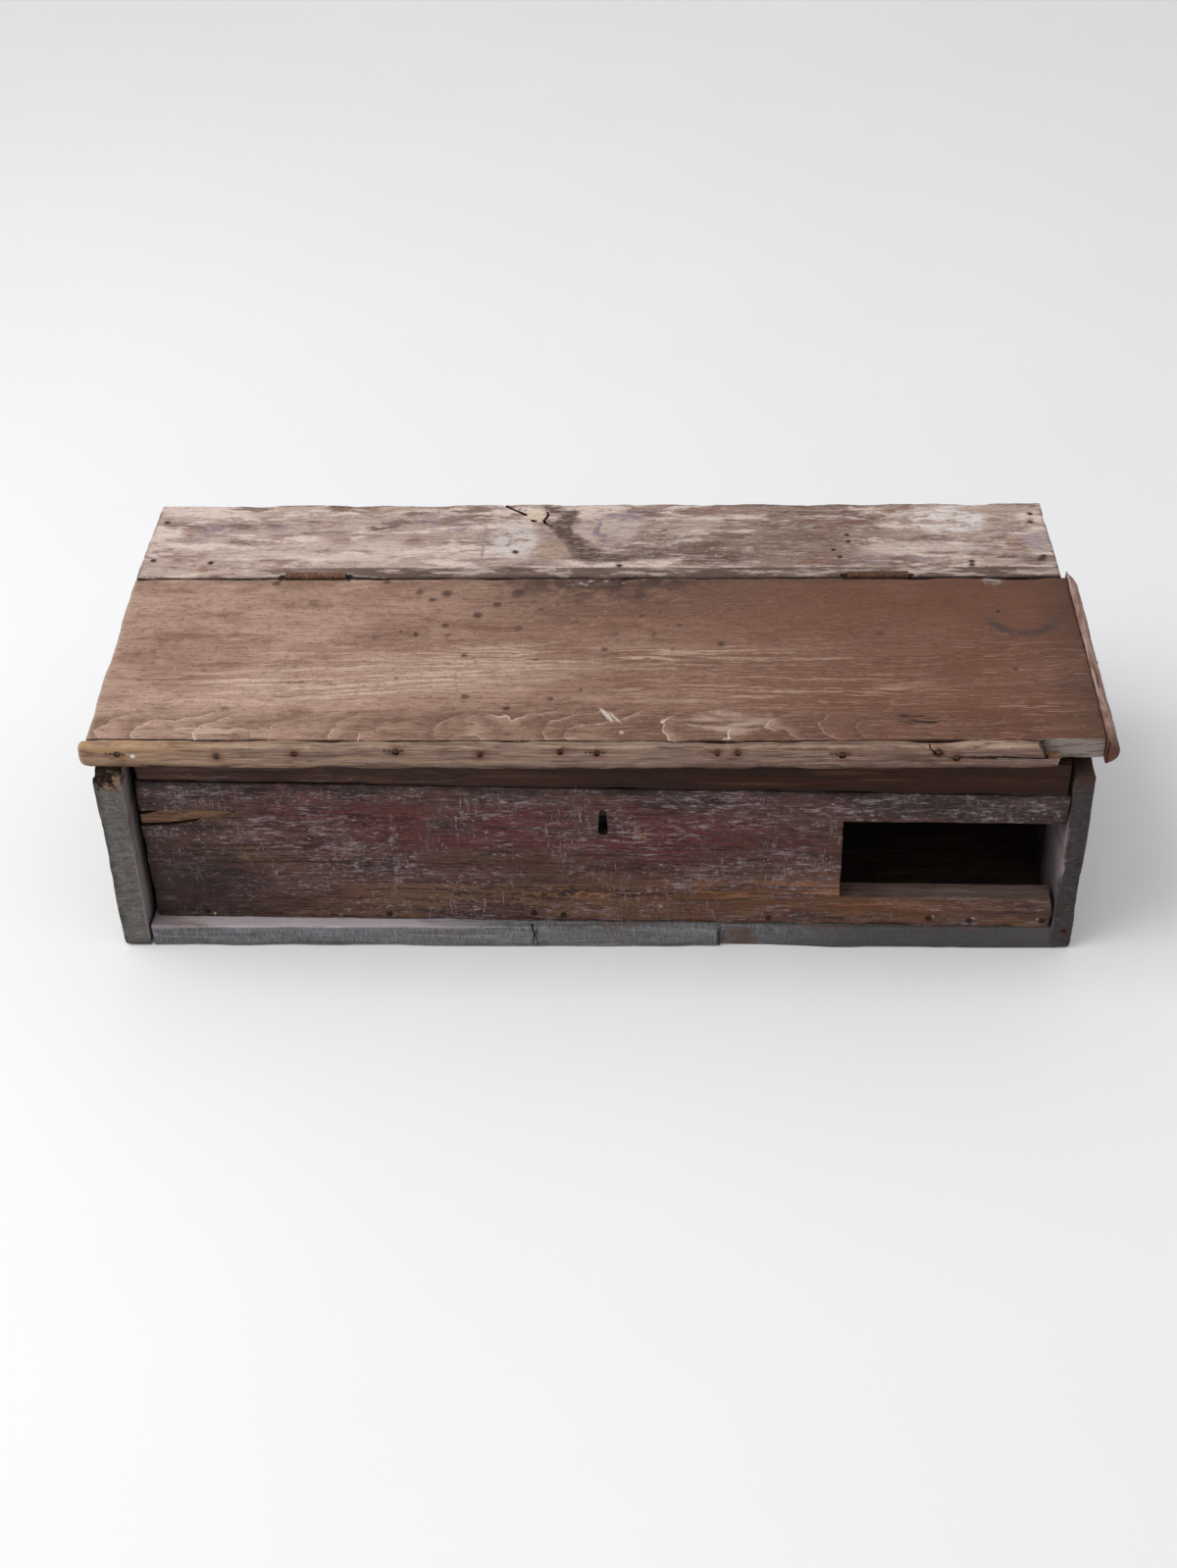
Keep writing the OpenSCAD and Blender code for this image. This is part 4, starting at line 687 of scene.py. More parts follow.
# How boards are shaped
shaping = {
    "sharp": 60, "smooth": 35,  # past the first angle an edge is eased, up to the second faces look smooth
    "easeSteps": 3, "pitSides": 14, "pitTaper": 0.55,  # a pit's foot is its mouth times its taper
    "squareTo": 0.6,  # a face this square to the inside of the chest looks into it
}


def clearSelection():
    if bpy.context.mode != "OBJECT":
        bpy.ops.object.mode_set(mode="OBJECT")
    bpy.ops.object.select_all(action="DESELECT")


# Makes a piece the only one that is selected and active
def takeUp(piece):
    clearSelection()
    piece.select_set(True)
    bpy.context.view_layer.objects.active = piece


# Joins pieces into one
def joinAll(pieces):
    clearSelection()
    for piece in pieces:
        piece.select_set(True)
    bpy.context.view_layer.objects.active = pieces[0]
    bpy.ops.object.transform_apply()
    if len(pieces) > 1:
        bpy.ops.object.join()
    return bpy.context.object


# Leaves only the faces or the edges of a mesh that a test picks out selected
def pickOut(mesh, kind, test):
    for group in (mesh.polygons, mesh.edges, mesh.vertices):
        for part in group:
            part.select = False
    for part in getattr(mesh, kind):
        part.select = test(part)


def aimAt(facing):
    return Vector(facing).to_track_quat("Z", "Y").to_matrix().to_4x4()


# Extrudes the whole of the new piece, turns its faces outwards and stays in edit mode
def extrudeAll(step):
    bpy.ops.object.mode_set(mode="EDIT")
    bpy.ops.mesh.select_all(action="SELECT")
    bpy.ops.mesh.extrude_region_move(TRANSFORM_OT_translate={"value": step})
    bpy.ops.mesh.select_all(action="SELECT")
    bpy.ops.mesh.normals_make_consistent(inside=False)


# Rounds the sharp edges of the piece in edit mode, then leaves it
def easeEdges(ease, steps=shaping["easeSteps"]):
    bpy.ops.mesh.select_all(action="DESELECT")
    bpy.ops.mesh.select_mode(type="EDGE")
    bpy.ops.mesh.edges_select_sharp(sharpness=math.radians(shaping["sharp"]))
    bpy.ops.mesh.bevel(offset=ease * mm, segments=steps, affect="EDGES")
    bpy.ops.object.mode_set(mode="OBJECT")


# Pushes the surface of the active piece by clouds of noise; with middle at 1 it is pressed inwards only
def pressClouds(piece, label, size, depth, group="", contrast=1, level=1, middle=0.5):
    cloud = bpy.data.textures.new(piece.name + label, "CLOUDS")
    cloud.noise_scale = size * mm
    cloud.noise_depth = 2
    cloud.contrast = contrast
    cloud.intensity = level
    press = piece.modifiers.new(label, "DISPLACE")
    press.texture = cloud
    press.texture_coords = "LOCAL"
    press.vertex_group = group
    press.strength = depth * mm
    press.mid_level = middle
    bpy.ops.object.modifier_apply(modifier=press.name)


# Worn edges, a few deeper dents in them, and slightly uneven faces; wear gives the size and depth of each
def wearBoard(board, low, high, wear):
    takeUp(board)
    worn = board.vertex_groups.new(name="worn")
    for point in board.data.vertices:
        gaps = sorted(min(point.co[i] - low[i] * mm, high[i] * mm - point.co[i]) for i in range(3))
        worn.add([point.index], max(0, 1 - gaps[1] / wear["reach"] / mm), "REPLACE")
    # Contrast and level set how rare each of them is
    presses = (("chips", "worn", 2.2, 1), ("dents", "worn", 5, 1.9), ("waves", "", 2.2, 1))
    for label, group, contrast, level in presses:
        pressClouds(board, label, *wear[label], group, contrast, level, middle=1)
    for point in board.data.vertices:
        point.co = [min(max(point.co[i], low[i] * mm), high[i] * mm) for i in range(3)]


# A board starts as a grid over its broad face, is extruded to its thickness, has its edges eased and is worn
def addBoard(name, shape, across):
    low, high, cell = (shape[key] for key in ("low", "high", "cell"))
    size = [(high[i] - low[i]) * mm for i in range(3)]
    start = [(high[i] + low[i]) / 2 * mm for i in range(3)]
    thick = "xyz".index(across)
    flat = {"z": (0, 1), "y": (0, 2), "x": (2, 1)}[across]
    turn = {"z": (0, 0, 0), "y": (math.pi / 2, 0, 0), "x": (0, math.pi / 2, 0)}[across]
    inward = 1 if across == "y" else -1
    start[thick] -= inward * size[thick] / 2
    step = [0, 0, 0]
    step[thick] = inward * size[thick]
    clearSelection()
    bpy.ops.mesh.primitive_grid_add(
        x_subdivisions=max(2, round(size[flat[0]] / cell / mm)),
        y_subdivisions=max(2, round(size[flat[1]] / cell / mm)),
        size=1, location=start, rotation=turn)
    board = bpy.context.object
    board.name = name
    board.scale = (size[flat[0]], size[flat[1]], 1)
    bpy.ops.object.transform_apply()
    extrudeAll(step)
    easeEdges(shape["ease"])
    wearBoard(board, low, high, shape["wear"])
    return board


# A slab cut to an outline: an n-sided disc whose corners go to the outline, then extruded
def addSlab(outline, plane, start, depth):
    clearSelection()
    bpy.ops.mesh.primitive_circle_add(vertices=len(outline), radius=1, fill_type="NGON")
    slab = bpy.context.object
    for point, (a, b) in zip(slab.data.vertices, outline):
        place = (a, start, b) if plane == "xz" else (a, b, start)
        point.co = [n * mm for n in place]
    step = (0, depth * mm, 0) if plane == "xz" else (0, 0, depth * mm)
    extrudeAll(step)
    bpy.ops.object.mode_set(mode="OBJECT")
    return slab


# An oblong outline round a middle
def oblong(middle, width, low, high):
    left = middle - width / 2
    right = middle + width / 2
    return [(left, low), (right, low), (right, high), (left, high)]


# Cutters that let something in at each hinge
def hingeCutters(cut):
    outlines = [oblong(side * hingeX, cut["long"], cut["front"], cut["back"]) for side in (-1, 1)]
    return [addSlab(outline, "xy", cut["foot"], cut["high"]) for outline in outlines]


# A pit round a nail or a small hole: a cone with its mouth at the surface
def addPit(place, facing, mouth, depth):
    clearSelection()
    foot = mouth * shaping["pitTaper"]
    bpy.ops.mesh.primitive_cone_add(vertices=shaping["pitSides"], radius1=foot * mm, radius2=mouth * mm,
                                    depth=2 * depth * mm)
    pit = bpy.context.object
    pit.matrix_world = Matrix.Translation(Vector(place) * mm) @ aimAt(facing)
    bpy.ops.object.transform_apply()
    return pit


# Cuts the cutters out of a board in one pass; the cut faces take their own material
def cutAway(board, cutters, outside, cut):
    blade = joinAll(cutters)
    for finish in (outside, cut):
        if board.data.materials.find(finish.name) < 0:
            board.data.materials.append(finish)
    blade.data.materials.clear()
    for finish in board.data.materials:
        blade.data.materials.append(finish)
    for face in blade.data.polygons:
        face.material_index = board.data.materials.find(cut.name)
    takeUp(board)
    carve = board.modifiers.new("carve", "BOOLEAN")
    carve.operation = "DIFFERENCE"
    carve.solver = "MANIFOLD"
    carve.object = blade
    bpy.ops.object.modifier_apply(modifier=carve.name)
    bpy.data.objects.remove(blade)


# A ragged line between two points, as torn or worn wood leaves it
def raggedLine(start, end, steps, rough, dice):
    line = []
    for i in range(steps + 1):
        share = i / steps
        off = 0 if i in (0, steps) else dice.uniform(-rough, rough)
        across = Vector((start[1] - end[1], end[0] - start[0])).normalized()
        line.append((start[0] + (end[0] - start[0]) * share + across.x * off,
                     start[1] + (end[1] - start[1]) * share + across.y * off))
    return line


# Sets a finished piece in its place, gives it its body and material, and hides the solid it stands for
def finishPiece(piece, place, body, node, material=None):
    takeUp(piece)
    piece.matrix_world = place
    bpy.ops.object.transform_apply()
    bpy.ops.object.shade_smooth_by_angle(angle=math.radians(shaping["smooth"]))
    if material:
        piece.data.materials.clear()
        piece.data.materials.append(material)
    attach(piece, body)
    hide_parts(node)
    print("piece", piece.name, len(piece.data.polygons), "faces")


# Outside faces that look into the chest, behind a given depth, stay bare
def bareInside(piece, facing, behind=-math.inf):
    if piece.data.materials.find(shadedInnerWood.name) < 0:
        piece.data.materials.append(shadedInnerWood)
    for face in piece.data.polygons:
        looksIn = face.normal.dot(Vector(facing)) > shaping["squareTo"]
        if face.material_index == 0 and looksIn and face.center.y > behind * mm:
            face.material_index = piece.data.materials.find(shadedInnerWood.name)


hingeX = 277.5  # the hinges stand this far to either side of the middle
upwards = (0, 0, 1)
downwards = (0, 0, -1)
forwards = (0, -1, 0)
backwards = (0, 1, 0)

# Lid board, sagging a little along its front edge, with seats for the hinge leaves and short open splits
lid = {
    "low": (-457, -244.2, -22), "high": (462, 0, 0), "cell": 5, "ease": 1.6, "sag": 2.2,
    "wear": {"reach": 5, "chips": (11, 0.5), "dents": (48, 1.2), "waves": (90, 0.4)},
    "leafSeat": {"long": 60, "front": -2.2, "back": 5, "foot": -19, "high": 24},
    "splits": ((298, -210.5, 16), (306, -214, 20), (308, -219.5, 15)),  # middle and length
    "splitWidth": 1.1, "splitFoot": -3, "splitHigh": 5,
}


# The sag grows towards the middle of the lid's front edge
def sagPiece(piece):
    for point in piece.data.vertices:
        bow = 1 - (point.co.x / mm / lid["high"][0]) ** 2
        forward = point.co.y / mm / lid["low"][1]
        point.co.z -= lid["sag"] * max(0, bow) * min(1, max(0, forward)) * mm


lidBoard = addBoard("lidBoard", lid, "z")
cutters = hingeCutters(lid["leafSeat"])
half = lid["splitWidth"] / 2
for x, y, length in lid["splits"]:
    split = [(x - length / 2, y), (x, y - half), (x + length / 2, y + half), (x, y + half)]
    cutters.append(addSlab(split, "xy", lid["splitFoot"], lid["splitHigh"]))
cutAway(lidBoard, cutters, dryLidWood, rotAndShadeWood)
bareInside(lidBoard, downwards)
sagPiece(lidBoard)
finishPiece(lidBoard, onLid, "lid", "lid_board")

# Rear top board: its front edge is worn down in a broad chamfer, and a knot has cracked at its back edge
rear = {
    "low": (-457, 52.5, 242), "high": (457, 197.5, rearTop), "cell": 5, "ease": 1.8,
    "wear": {"reach": 6, "chips": (10, 0.6), "dents": (40, 1.2), "waves": (70, 0.6)},
    "chamferWidth": 19, "chamferDrop": 1.6, "chamferAbove": 255, "chamferCurve": 1.3,
    "barrelNotch": {"long": 61.4, "front": 45, "back": 60.3, "foot": 259.3, "high": 10},
    "leafSeat": {"long": 60.4, "front": 44, "back": 54.7, "foot": 244.8, "high": 24},
    "nailPit": {"mouth": 3.4, "depth": 2.2}, "nailZ": 263.4,
    "markPit": {"mouth": 2.2, "depth": 1.2}, "markZ": 263.6,
    "cracks": (((-103, 199), (-96, 192), (-88, 185.5), (-81, 179.5), (-76.5, 174.5), (-73.2, 173.6),
                (-73.6, 177.6), (-78.6, 182.2), (-85.6, 187.2), (-92.6, 193), (-99, 199)),
               ((-70, 165.6), (-66.5, 166.4), (-63, 164.4), (-62, 162), (-65.4, 161.2), (-69, 162.8)),
               ((-54.6, 183), (-52.4, 177), (-54.4, 170.4), (-57, 164), (-54.6, 157), (-50, 152.6),
                (-45.6, 151.4), (-45.4, 153.2), (-49.6, 155), (-52.4, 159.4), (-54.2, 164.4), (-51.6, 170.4),
                (-50, 177), (-52.6, 183))),
    "crackFoot": 258, "crackHigh": 10,
}
rearBoard = addBoard("rearTopBoard", rear, "z")
for point in rearBoard.data.vertices:
    inside = (point.co.y / mm - rear["low"][1]) / rear["chamferWidth"]
    if point.co.z / mm > rear["chamferAbove"] and inside < 1:
        point.co.z -= rear["chamferDrop"] * (1 - max(0, inside)) ** rear["chamferCurve"] * mm
cutAway(rearBoard, hingeCutters(rear["barrelNotch"]), whitewashedWood, rotAndShadeWood)
cutters = hingeCutters(rear["leafSeat"])
cutters += [addPit((x, y, rearTop), upwards, **rear["nailPit"]) for x, y in rearNails]
cutters += [addPit((x, y, rear["markZ"]), upwards, **rear["markPit"]) for x, y in rearMarks]
cutters += [addSlab(crack, "xy", rear["crackFoot"], rear["crackHigh"]) for crack in rear["cracks"]]
cutAway(rearBoard, cutters, whitewashedWood, rotAndShadeWood)
bareInside(rearBoard, downwards)
finishPiece(rearBoard, onFloor, "carcass", "rear_top_board")

# Moulding on the lid's front edge: rounded, nailed, split and broken off at its right end
moulding = {
    "low": (-464, -253.9, -26), "high": (422, -244.2, 0), "cell": 5, "ease": 3.2,
    "endRound": 9, "endHeight": 0.45,  # its left end is rounded down to this share of its height
    "wear": {"reach": 6, "chips": (9, 0.5), "dents": (44, 1.5), "waves": (90, 0.6)},
    "bigNails": (0, 3, 9, 10, 11), "bigMouth": 4.2, "mouth": 2.8, "pitDepth": 3,
    "pitY": -254, "nailY": -253.6,
    # Ragged lines: from, to, how many steps and how rough
    "tornDown": ((398, 3), (407, -14.5), 6, 1.6), "tornAlong": ((407, -14.5), (430, -13.7), 5, 0.8),
    "tornCorner": (430, 3),
    "stub": ((419, -15.5), (421, -28), 5, 1.2), "stubCorners": [(432, -28), (432, -11.5)],
    "split": ((316, -12.2), (410, -13.4), 9, 0.5), "splitWidth": 1.6, "splitStart": 0.25,
    "topCrack": ((302, 3), (304.5, -2.6), (307.6, -5.4), (309, -8), (308, -8.2), (306.4, -6),
                 (303.4, -3.2), (300.6, 3)),
    # Where each cutter starts in front of the strip, and how far it goes in
    "tornCut": (-258, 18), "stubCut": (-259, 20), "crackCut": (-257, 9), "splitCut": (-258, 9),
}
mouldingStrip = addBoard("lidMoulding", moulding, "y")
middle = (moulding["low"][2] + moulding["high"][2]) / 2
for point in mouldingStrip.data.vertices:
    inside = (point.co.x / mm - moulding["low"][0]) / moulding["endRound"]
    if inside < 1:
        bulge = math.sqrt(max(0, 1 - (1 - max(0, inside)) ** 2))
        shrink = moulding["endHeight"] + (1 - moulding["endHeight"]) * bulge
        point.co.z = (middle + (point.co.z / mm - middle) * shrink) * mm
dice = random.Random(11)
torn = raggedLine(*moulding["tornDown"], dice)
torn += raggedLine(*moulding["tornAlong"], dice)[1:] + [moulding["tornCorner"]]
cutAway(mouldingStrip, [addSlab(torn, "xz", *moulding["tornCut"])], bareMouldingWood, rawWood)
stub = raggedLine(*moulding["stub"], dice) + moulding["stubCorners"]
cutAway(mouldingStrip, [addSlab(stub, "xz", *moulding["stubCut"])], bareMouldingWood, rawWood)
cutters = [addSlab(moulding["topCrack"], "xz", *moulding["crackCut"])]
upper = raggedLine(*moulding["split"], dice)
lower = []
# The split opens towards the broken end
for i, (x, z) in enumerate(upper):
    opening = moulding["splitStart"] + (1 - moulding["splitStart"]) * i / (len(upper) - 1)
    lower.append((x, z - moulding["splitWidth"] * opening))
cutters.append(addSlab(upper + lower[::-1], "xz", *moulding["splitCut"]))
for i, (x, z) in enumerate(mouldingNails):
    mouth = moulding["bigMouth" if i in moulding["bigNails"] else "mouth"]
    cutters.append(addPit((x, moulding["pitY"], z), forwards, mouth, moulding["pitDepth"]))
cutAway(mouldingStrip, cutters, bareMouldingWood, rotAndShadeWood)
sagPiece(mouldingStrip)
finishPiece(mouldingStrip, onLid, "lid", "lid_moulding")

# Half-round cleat on the lid's right edge
cleat = {
    "flatX": 462, "thick": 12, "high": 28, "topZ": 1.5, "frontY": -248.2, "rearY": 9, "rearRound": 12,
    "rearLeast": 0.02, "sides": 36, "cuts": 44, "ease": 1.5, "easeSteps": 2,
    "wear": {"reach": 60, "chips": (9, 0.5), "dents": (40, 0.5), "waves": (60, 0.4)},
}
cleatLow = (cleat["flatX"], cleat["frontY"], cleat["topZ"] - cleat["high"])
cleatHigh = (cleat["flatX"] + cleat["thick"], cleat["rearY"], cleat["topZ"])
radius = cleat["high"] / 2
length = cleat["rearY"] - cleat["frontY"]
clearSelection()
bpy.ops.mesh.primitive_cylinder_add(
    vertices=cleat["sides"], radius=radius * mm, depth=length * mm, rotation=(math.pi / 2, 0, 0),
    location=((cleat["flatX"] + cleat["thick"] - radius) * mm, (cleat["rearY"] + cleat["frontY"]) / 2 * mm,
              (cleat["topZ"] - radius) * mm))
endCleat = bpy.context.object
endCleat.name = "lidEndCleat"
bpy.ops.object.transform_apply()
bpy.ops.object.mode_set(mode="EDIT")
bpy.ops.mesh.select_all(action="SELECT")
flatSide = (cleat["flatX"] * mm, 0, 0)
bpy.ops.mesh.bisect(plane_co=flatSide, plane_no=(1, 0, 0), clear_inner=True, use_fill=True)
bpy.ops.object.mode_set(mode="OBJECT")


def runsAlong(edge):
    a, b = (endCleat.data.vertices[i].co for i in edge.vertices)
    return abs(a.y - b.y) > length * mm * 0.9


pickOut(endCleat.data, "edges", runsAlong)
bpy.ops.object.mode_set(mode="EDIT")
bpy.ops.mesh.select_mode(type="EDGE")
bpy.ops.mesh.subdivide(number_cuts=cleat["cuts"])
easeEdges(cleat["ease"], cleat["easeSteps"])
for point in endCleat.data.vertices:
    along = (point.co.y / mm - (cleat["rearY"] - cleat["rearRound"])) / cleat["rearRound"]
    if along > 0:
        narrow = math.sqrt(max(cleat["rearLeast"], 1 - min(1, along) ** 2))
        point.co.x = (cleat["flatX"] + (point.co.x / mm - cleat["flatX"]) * narrow) * mm
wearBoard(endCleat, cleatLow, cleatHigh, cleat["wear"])
finishPiece(endCleat, onLid, "lid", "lid_end_cleat", stainedCleatWood)

# Lip under the lid, rebated behind the moulding, its foot following the panel's top edge
lip = {
    "low": (2.5, 0, 182), "high": (856.6, 22, 224), "cell": 8, "ease": 1.2,
    "wear": {"reach": 5, "chips": (12, 0.5), "dents": (40, 1.2), "waves": (60, 0.5)},
    "footLeft": 189.8, "footRight": 182.4, "topRear": 223.3, "topFront": 217.6, "rebate": 6,
    "linkWidth": 62.3, "linkFrom": 8.3, "linkTo": 30, "linkFoot": 175, "linkHigh": 12.95,
}
lidLip = addBoard("lidLip", lip, "y")
for point in lidLip.data.vertices:
    x, y, z = (n / mm for n in point.co)
    foot = lip["footLeft"] + (lip["footRight"] - lip["footLeft"]) * x / panelPlane["long"]
    top = lip["topRear"] if y > lip["rebate"] else lip["topFront"]
    point.co.z = (foot + (top - foot) * (z - lip["low"][2]) / (lip["high"][2] - lip["low"][2])) * mm
linkSeat = oblong(panelPlane["keyX"], lip["linkWidth"], lip["linkFrom"], lip["linkTo"])
cutAway(lidLip, [addSlab(linkSeat, "xy", lip["linkFoot"], lip["linkHigh"])], shadedLipWood, shadedInnerWood)
bareInside(lidLip, backwards)
finishPiece(lidLip, onPanel, "lid", "lid_lip")

# Front panel: cut-out at its right end, keyhole, splintered left end, lock let into its back
panel = {
    "low": (0, 0, 25), "high": (panelPlane["long"], 22, 188), "cell": 5, "ease": 1.3,
    "heightLeft": 163, "heightRight": 157,
    "wear": {"reach": 6, "chips": (12, 0.6), "dents": (40, 1.6), "waves": (70, 0.6)},
    # Ragged edges of the cut-out: from, to, how many steps and how rough
    "windowSide": ((655.6, 150.5), (657.1, 59.5), 8, 0.6), "windowSill": ((657.1, 59.5), (880, 59), 12, 0.5),
    "windowHead": ((880, 150.5), (655.6, 150.5), 12, 0.4),
    "keyFoot": 131, "keyTop": 154, "keyWidth": 8, "keyFootWidth": 9.5, "keySteps": 12,
    "keyDent": ((429.7, 150.5), (437.5, 150.5), (437.3, 157), (435.6, 160.2), (431.4, 160.6), (429.9, 157)),
    "nailPit": {"mouth": 2.7, "depth": 2.4}, "pitY": 0.3, "nailY": 0.6,
    "splinter": ((-6, 153), (23, 154.2), (37, 155.6), (59, 155.6), (78, 154.6), (93, 153.4), (82, 150),
                 (70, 146.4), (53, 142.4), (27, 137.6), (0, 135.6), (-6, 135.4)),
    "splinterCracks": (((-7, 153.4), (24, 154.8), (12, 150.6), (0, 147.6), (-7, 147)),
                       ((-7, 137.4), (27, 139.2), (53, 143.8), (60, 146), (53, 142), (27, 137), (-7, 135))),
    "railGap": ((855.2, 66), (855.6, 59), (857.6, 50), (858.4, 41), (857.2, 31), (856, 20), (870, 20),
                (870, 66)),
    # Pockets for the lock's case, plate and flange: width, foot, top, depth, and the cutter's reach behind
    "pockets": ((52.3, 124.85, 200, 14.65, 6), (74.3, 118.85, 202, 1.65, 8), (74.3, 182.9, 204, 14.65, 10)),
}
frontPanel = addBoard("frontPanel", panel, "y")
for point in frontPanel.data.vertices:
    x = point.co.x / mm
    foot = panel["low"][2]
    height = panel["heightLeft"] + (panel["heightRight"] - panel["heightLeft"]) * x / panel["high"][0]
    point.co.z = (foot + (point.co.z / mm - foot) * height / panel["heightLeft"]) * mm
dice = random.Random(3)
window = raggedLine(*panel["windowSide"], dice)
window += raggedLine(*panel["windowSill"], dice)[1:]
window += raggedLine(*panel["windowHead"], dice)[:-1]
# The keyhole is a half circle at its top and a wider one at its foot
keyhole = []
topHalf = panel["keyWidth"] / 2
footHalf = panel["keyFootWidth"] / 2
keyEnds = ((topHalf, panel["keyTop"] - topHalf, 0), (footHalf, panel["keyFoot"] + footHalf, math.pi))
for half, middle, start in keyEnds:
    for i in range(panel["keySteps"] + 1):
        turn = start + math.pi * i / panel["keySteps"]
        keyhole.append((panelPlane["keyX"] + half * math.cos(turn), middle + half * math.sin(turn)))
# What is cut from the front: outlines, where a cutter starts, how far it goes in, and the wood that it bares
frontCuts = (
    ([window], -5, 32, sillWood),
    ([keyhole], -3, 14, rotAndShadeWood),
    ([panel["keyDent"]], -2.5, 4.1, rotAndShadeWood),
    ([panel["splinter"]], -4, 6.2, rawWood),
    (panel["splinterCracks"], -5, 11, rotAndShadeWood),
    ([panel["railGap"]], -6, 40, shadedInnerWood),
)
for outlines, start, depth, bared in frontCuts:
    cutAway(frontPanel, [addSlab(outline, "xz", start, depth) for outline in outlines], maroonPaint, bared)
cutters = [addPit((x, panel["pitY"], z), forwards, **panel["nailPit"]) for x, z in panelNails]
cutAway(frontPanel, cutters, maroonPaint, rotAndShadeWood)
for width, foot, top, depth, past in panel["pockets"]:
    pocket = oblong(panelPlane["keyX"], width, foot, top)
    cutter = addSlab(pocket, "xz", panel["high"][1] - depth, depth + past)
    cutAway(frontPanel, [cutter], maroonPaint, shadedInnerWood)
bareInside(frontPanel, backwards)
finishPiece(frontPanel, onPanel, "carcass", "front_panel")

# Ends, falling towards the front, the left one rotted at its front corner
ends = {
    "frontY": -197.5, "backY": 177.5, "rearTop": 242, "slopeFrom": 52.5, "frontTop": 204, "seat": 241.7,
    "cell": 5, "ease": 2.2,
    "wear": {"reach": 7, "chips": (10, 0.5), "dents": (60, 1.0), "waves": (130, 0.5)},
    "footRound": 8,
    "leftX": (-457, -431), "rightX": (437, 457), "leftBareFrom": -165, "rightBareFrom": -120,
    # Places and sizes of the lumps gone from the rotted corner and from a knot, and how crumpled they are
    "rot": ((-452, -199, 205, 9), (-446, -196, 207, 8), (-441, -201, 203, 6), (-455, -190, 207, 9),
            (-448, -186, 210, 8), (-437, -199, 208, 5), (-444, -203, 197, 4), (-452, -202, 193, 5)),
    "knot": (449, -198.5, 21, 2.6), "crumpleSize": 0.7, "crumpleDepth": 1.1,
}


def addEnd(name, sides):
    low = (sides[0], ends["frontY"], 0)
    high = (sides[1], ends["backY"], ends["rearTop"])
    board = addBoard(name, {**ends, "low": low, "high": high}, "x")
    for point in board.data.vertices:
        y = point.co.y / mm
        if y < ends["slopeFrom"]:
            fall = (ends["slopeFrom"] - y) / (ends["slopeFrom"] - ends["frontY"])
            point.co.z *= (ends["seat"] + (ends["frontTop"] - ends["seat"]) * fall) / ends["rearTop"]
    # The outer foot arris is worn round
    outer = max(sides, key=abs) * mm
    inward = -math.copysign(1, outer)
    worn = ends["footRound"] * mm
    for point in board.data.vertices:
        short = worn - (point.co.x - outer) * inward
        under = worn - point.co.z
        reach = math.hypot(short, under)
        if short > 0 and under > 0 and reach > worn:
            point.co.x = outer + inward * (worn - short * worn / reach)
            point.co.z = worn - under * worn / reach
    return board


# A rotted lump: a sphere crumpled by noise
def addLump(x, y, z, size):
    clearSelection()
    place = (x * mm, y * mm, z * mm)
    bpy.ops.mesh.primitive_ico_sphere_add(subdivisions=3, radius=size * mm, location=place)
    lump = bpy.context.object
    bpy.ops.object.transform_apply()
    pressClouds(lump, "crumple", size * ends["crumpleSize"], size * ends["crumpleDepth"])
    return lump


leftEnd = addEnd("leftEnd", ends["leftX"])
for spot in ends["rot"]:
    cutAway(leftEnd, [addLump(*spot)], slateLeft, rotAndShadeWood)
bareInside(leftEnd, (1, 0, 0), ends["leftBareFrom"])
finishPiece(leftEnd, onFloor, "carcass", "left_end")
rightEnd = addEnd("rightEnd", ends["rightX"])
cutAway(rightEnd, [addLump(*ends["knot"])], partShadedSlateRight, rotAndShadeWood)
bareInside(rightEnd, (-1, 0, 0), ends["rightBareFrom"])
finishPiece(rightEnd, onFloor, "carcass", "right_end")

# Bottom board with a chip out of its front edge and a crack across it
bottom = {
    "low": (-428, -197.5, 0), "high": (437, 177.5, 25), "cell": 7, "ease": 1.6,
    "wear": {"reach": 6, "chips": (12, 0.5), "dents": (60, 0.9), "waves": (120, 0.5)},
    "chip": ((116, -200), (117.5, -196.5), (121, -195.8), (120, -193.6), (124, -193), (170, -193.6),
             (205, -195.4), (236, -197.8), (236, -202), (116, -202)),
    "crack": ((-60.5, 27), (-59, 18), (-55.5, 9), (-54, -2), (-53, -2), (-54.6, 9), (-57.6, 18),
              (-58.4, 27)),
    "chipCut": (-5, 40), "crackCut": (-201, 8), "bareFrom": -165,  # cuts: where they start, how far they go
}
bottomBoard = addBoard("bottomBoard", bottom, "z")
cutAway(bottomBoard, [addSlab(bottom["chip"], "xy", *bottom["chipCut"])], slateLong, slateLong)
cutAway(bottomBoard, [addSlab(bottom["crack"], "xz", *bottom["crackCut"])], slateLong, rotAndShadeWood)
bareInside(bottomBoard, upwards, bottom["bareFrom"])
finishPiece(bottomBoard, onFloor, "carcass", "bottom_board")

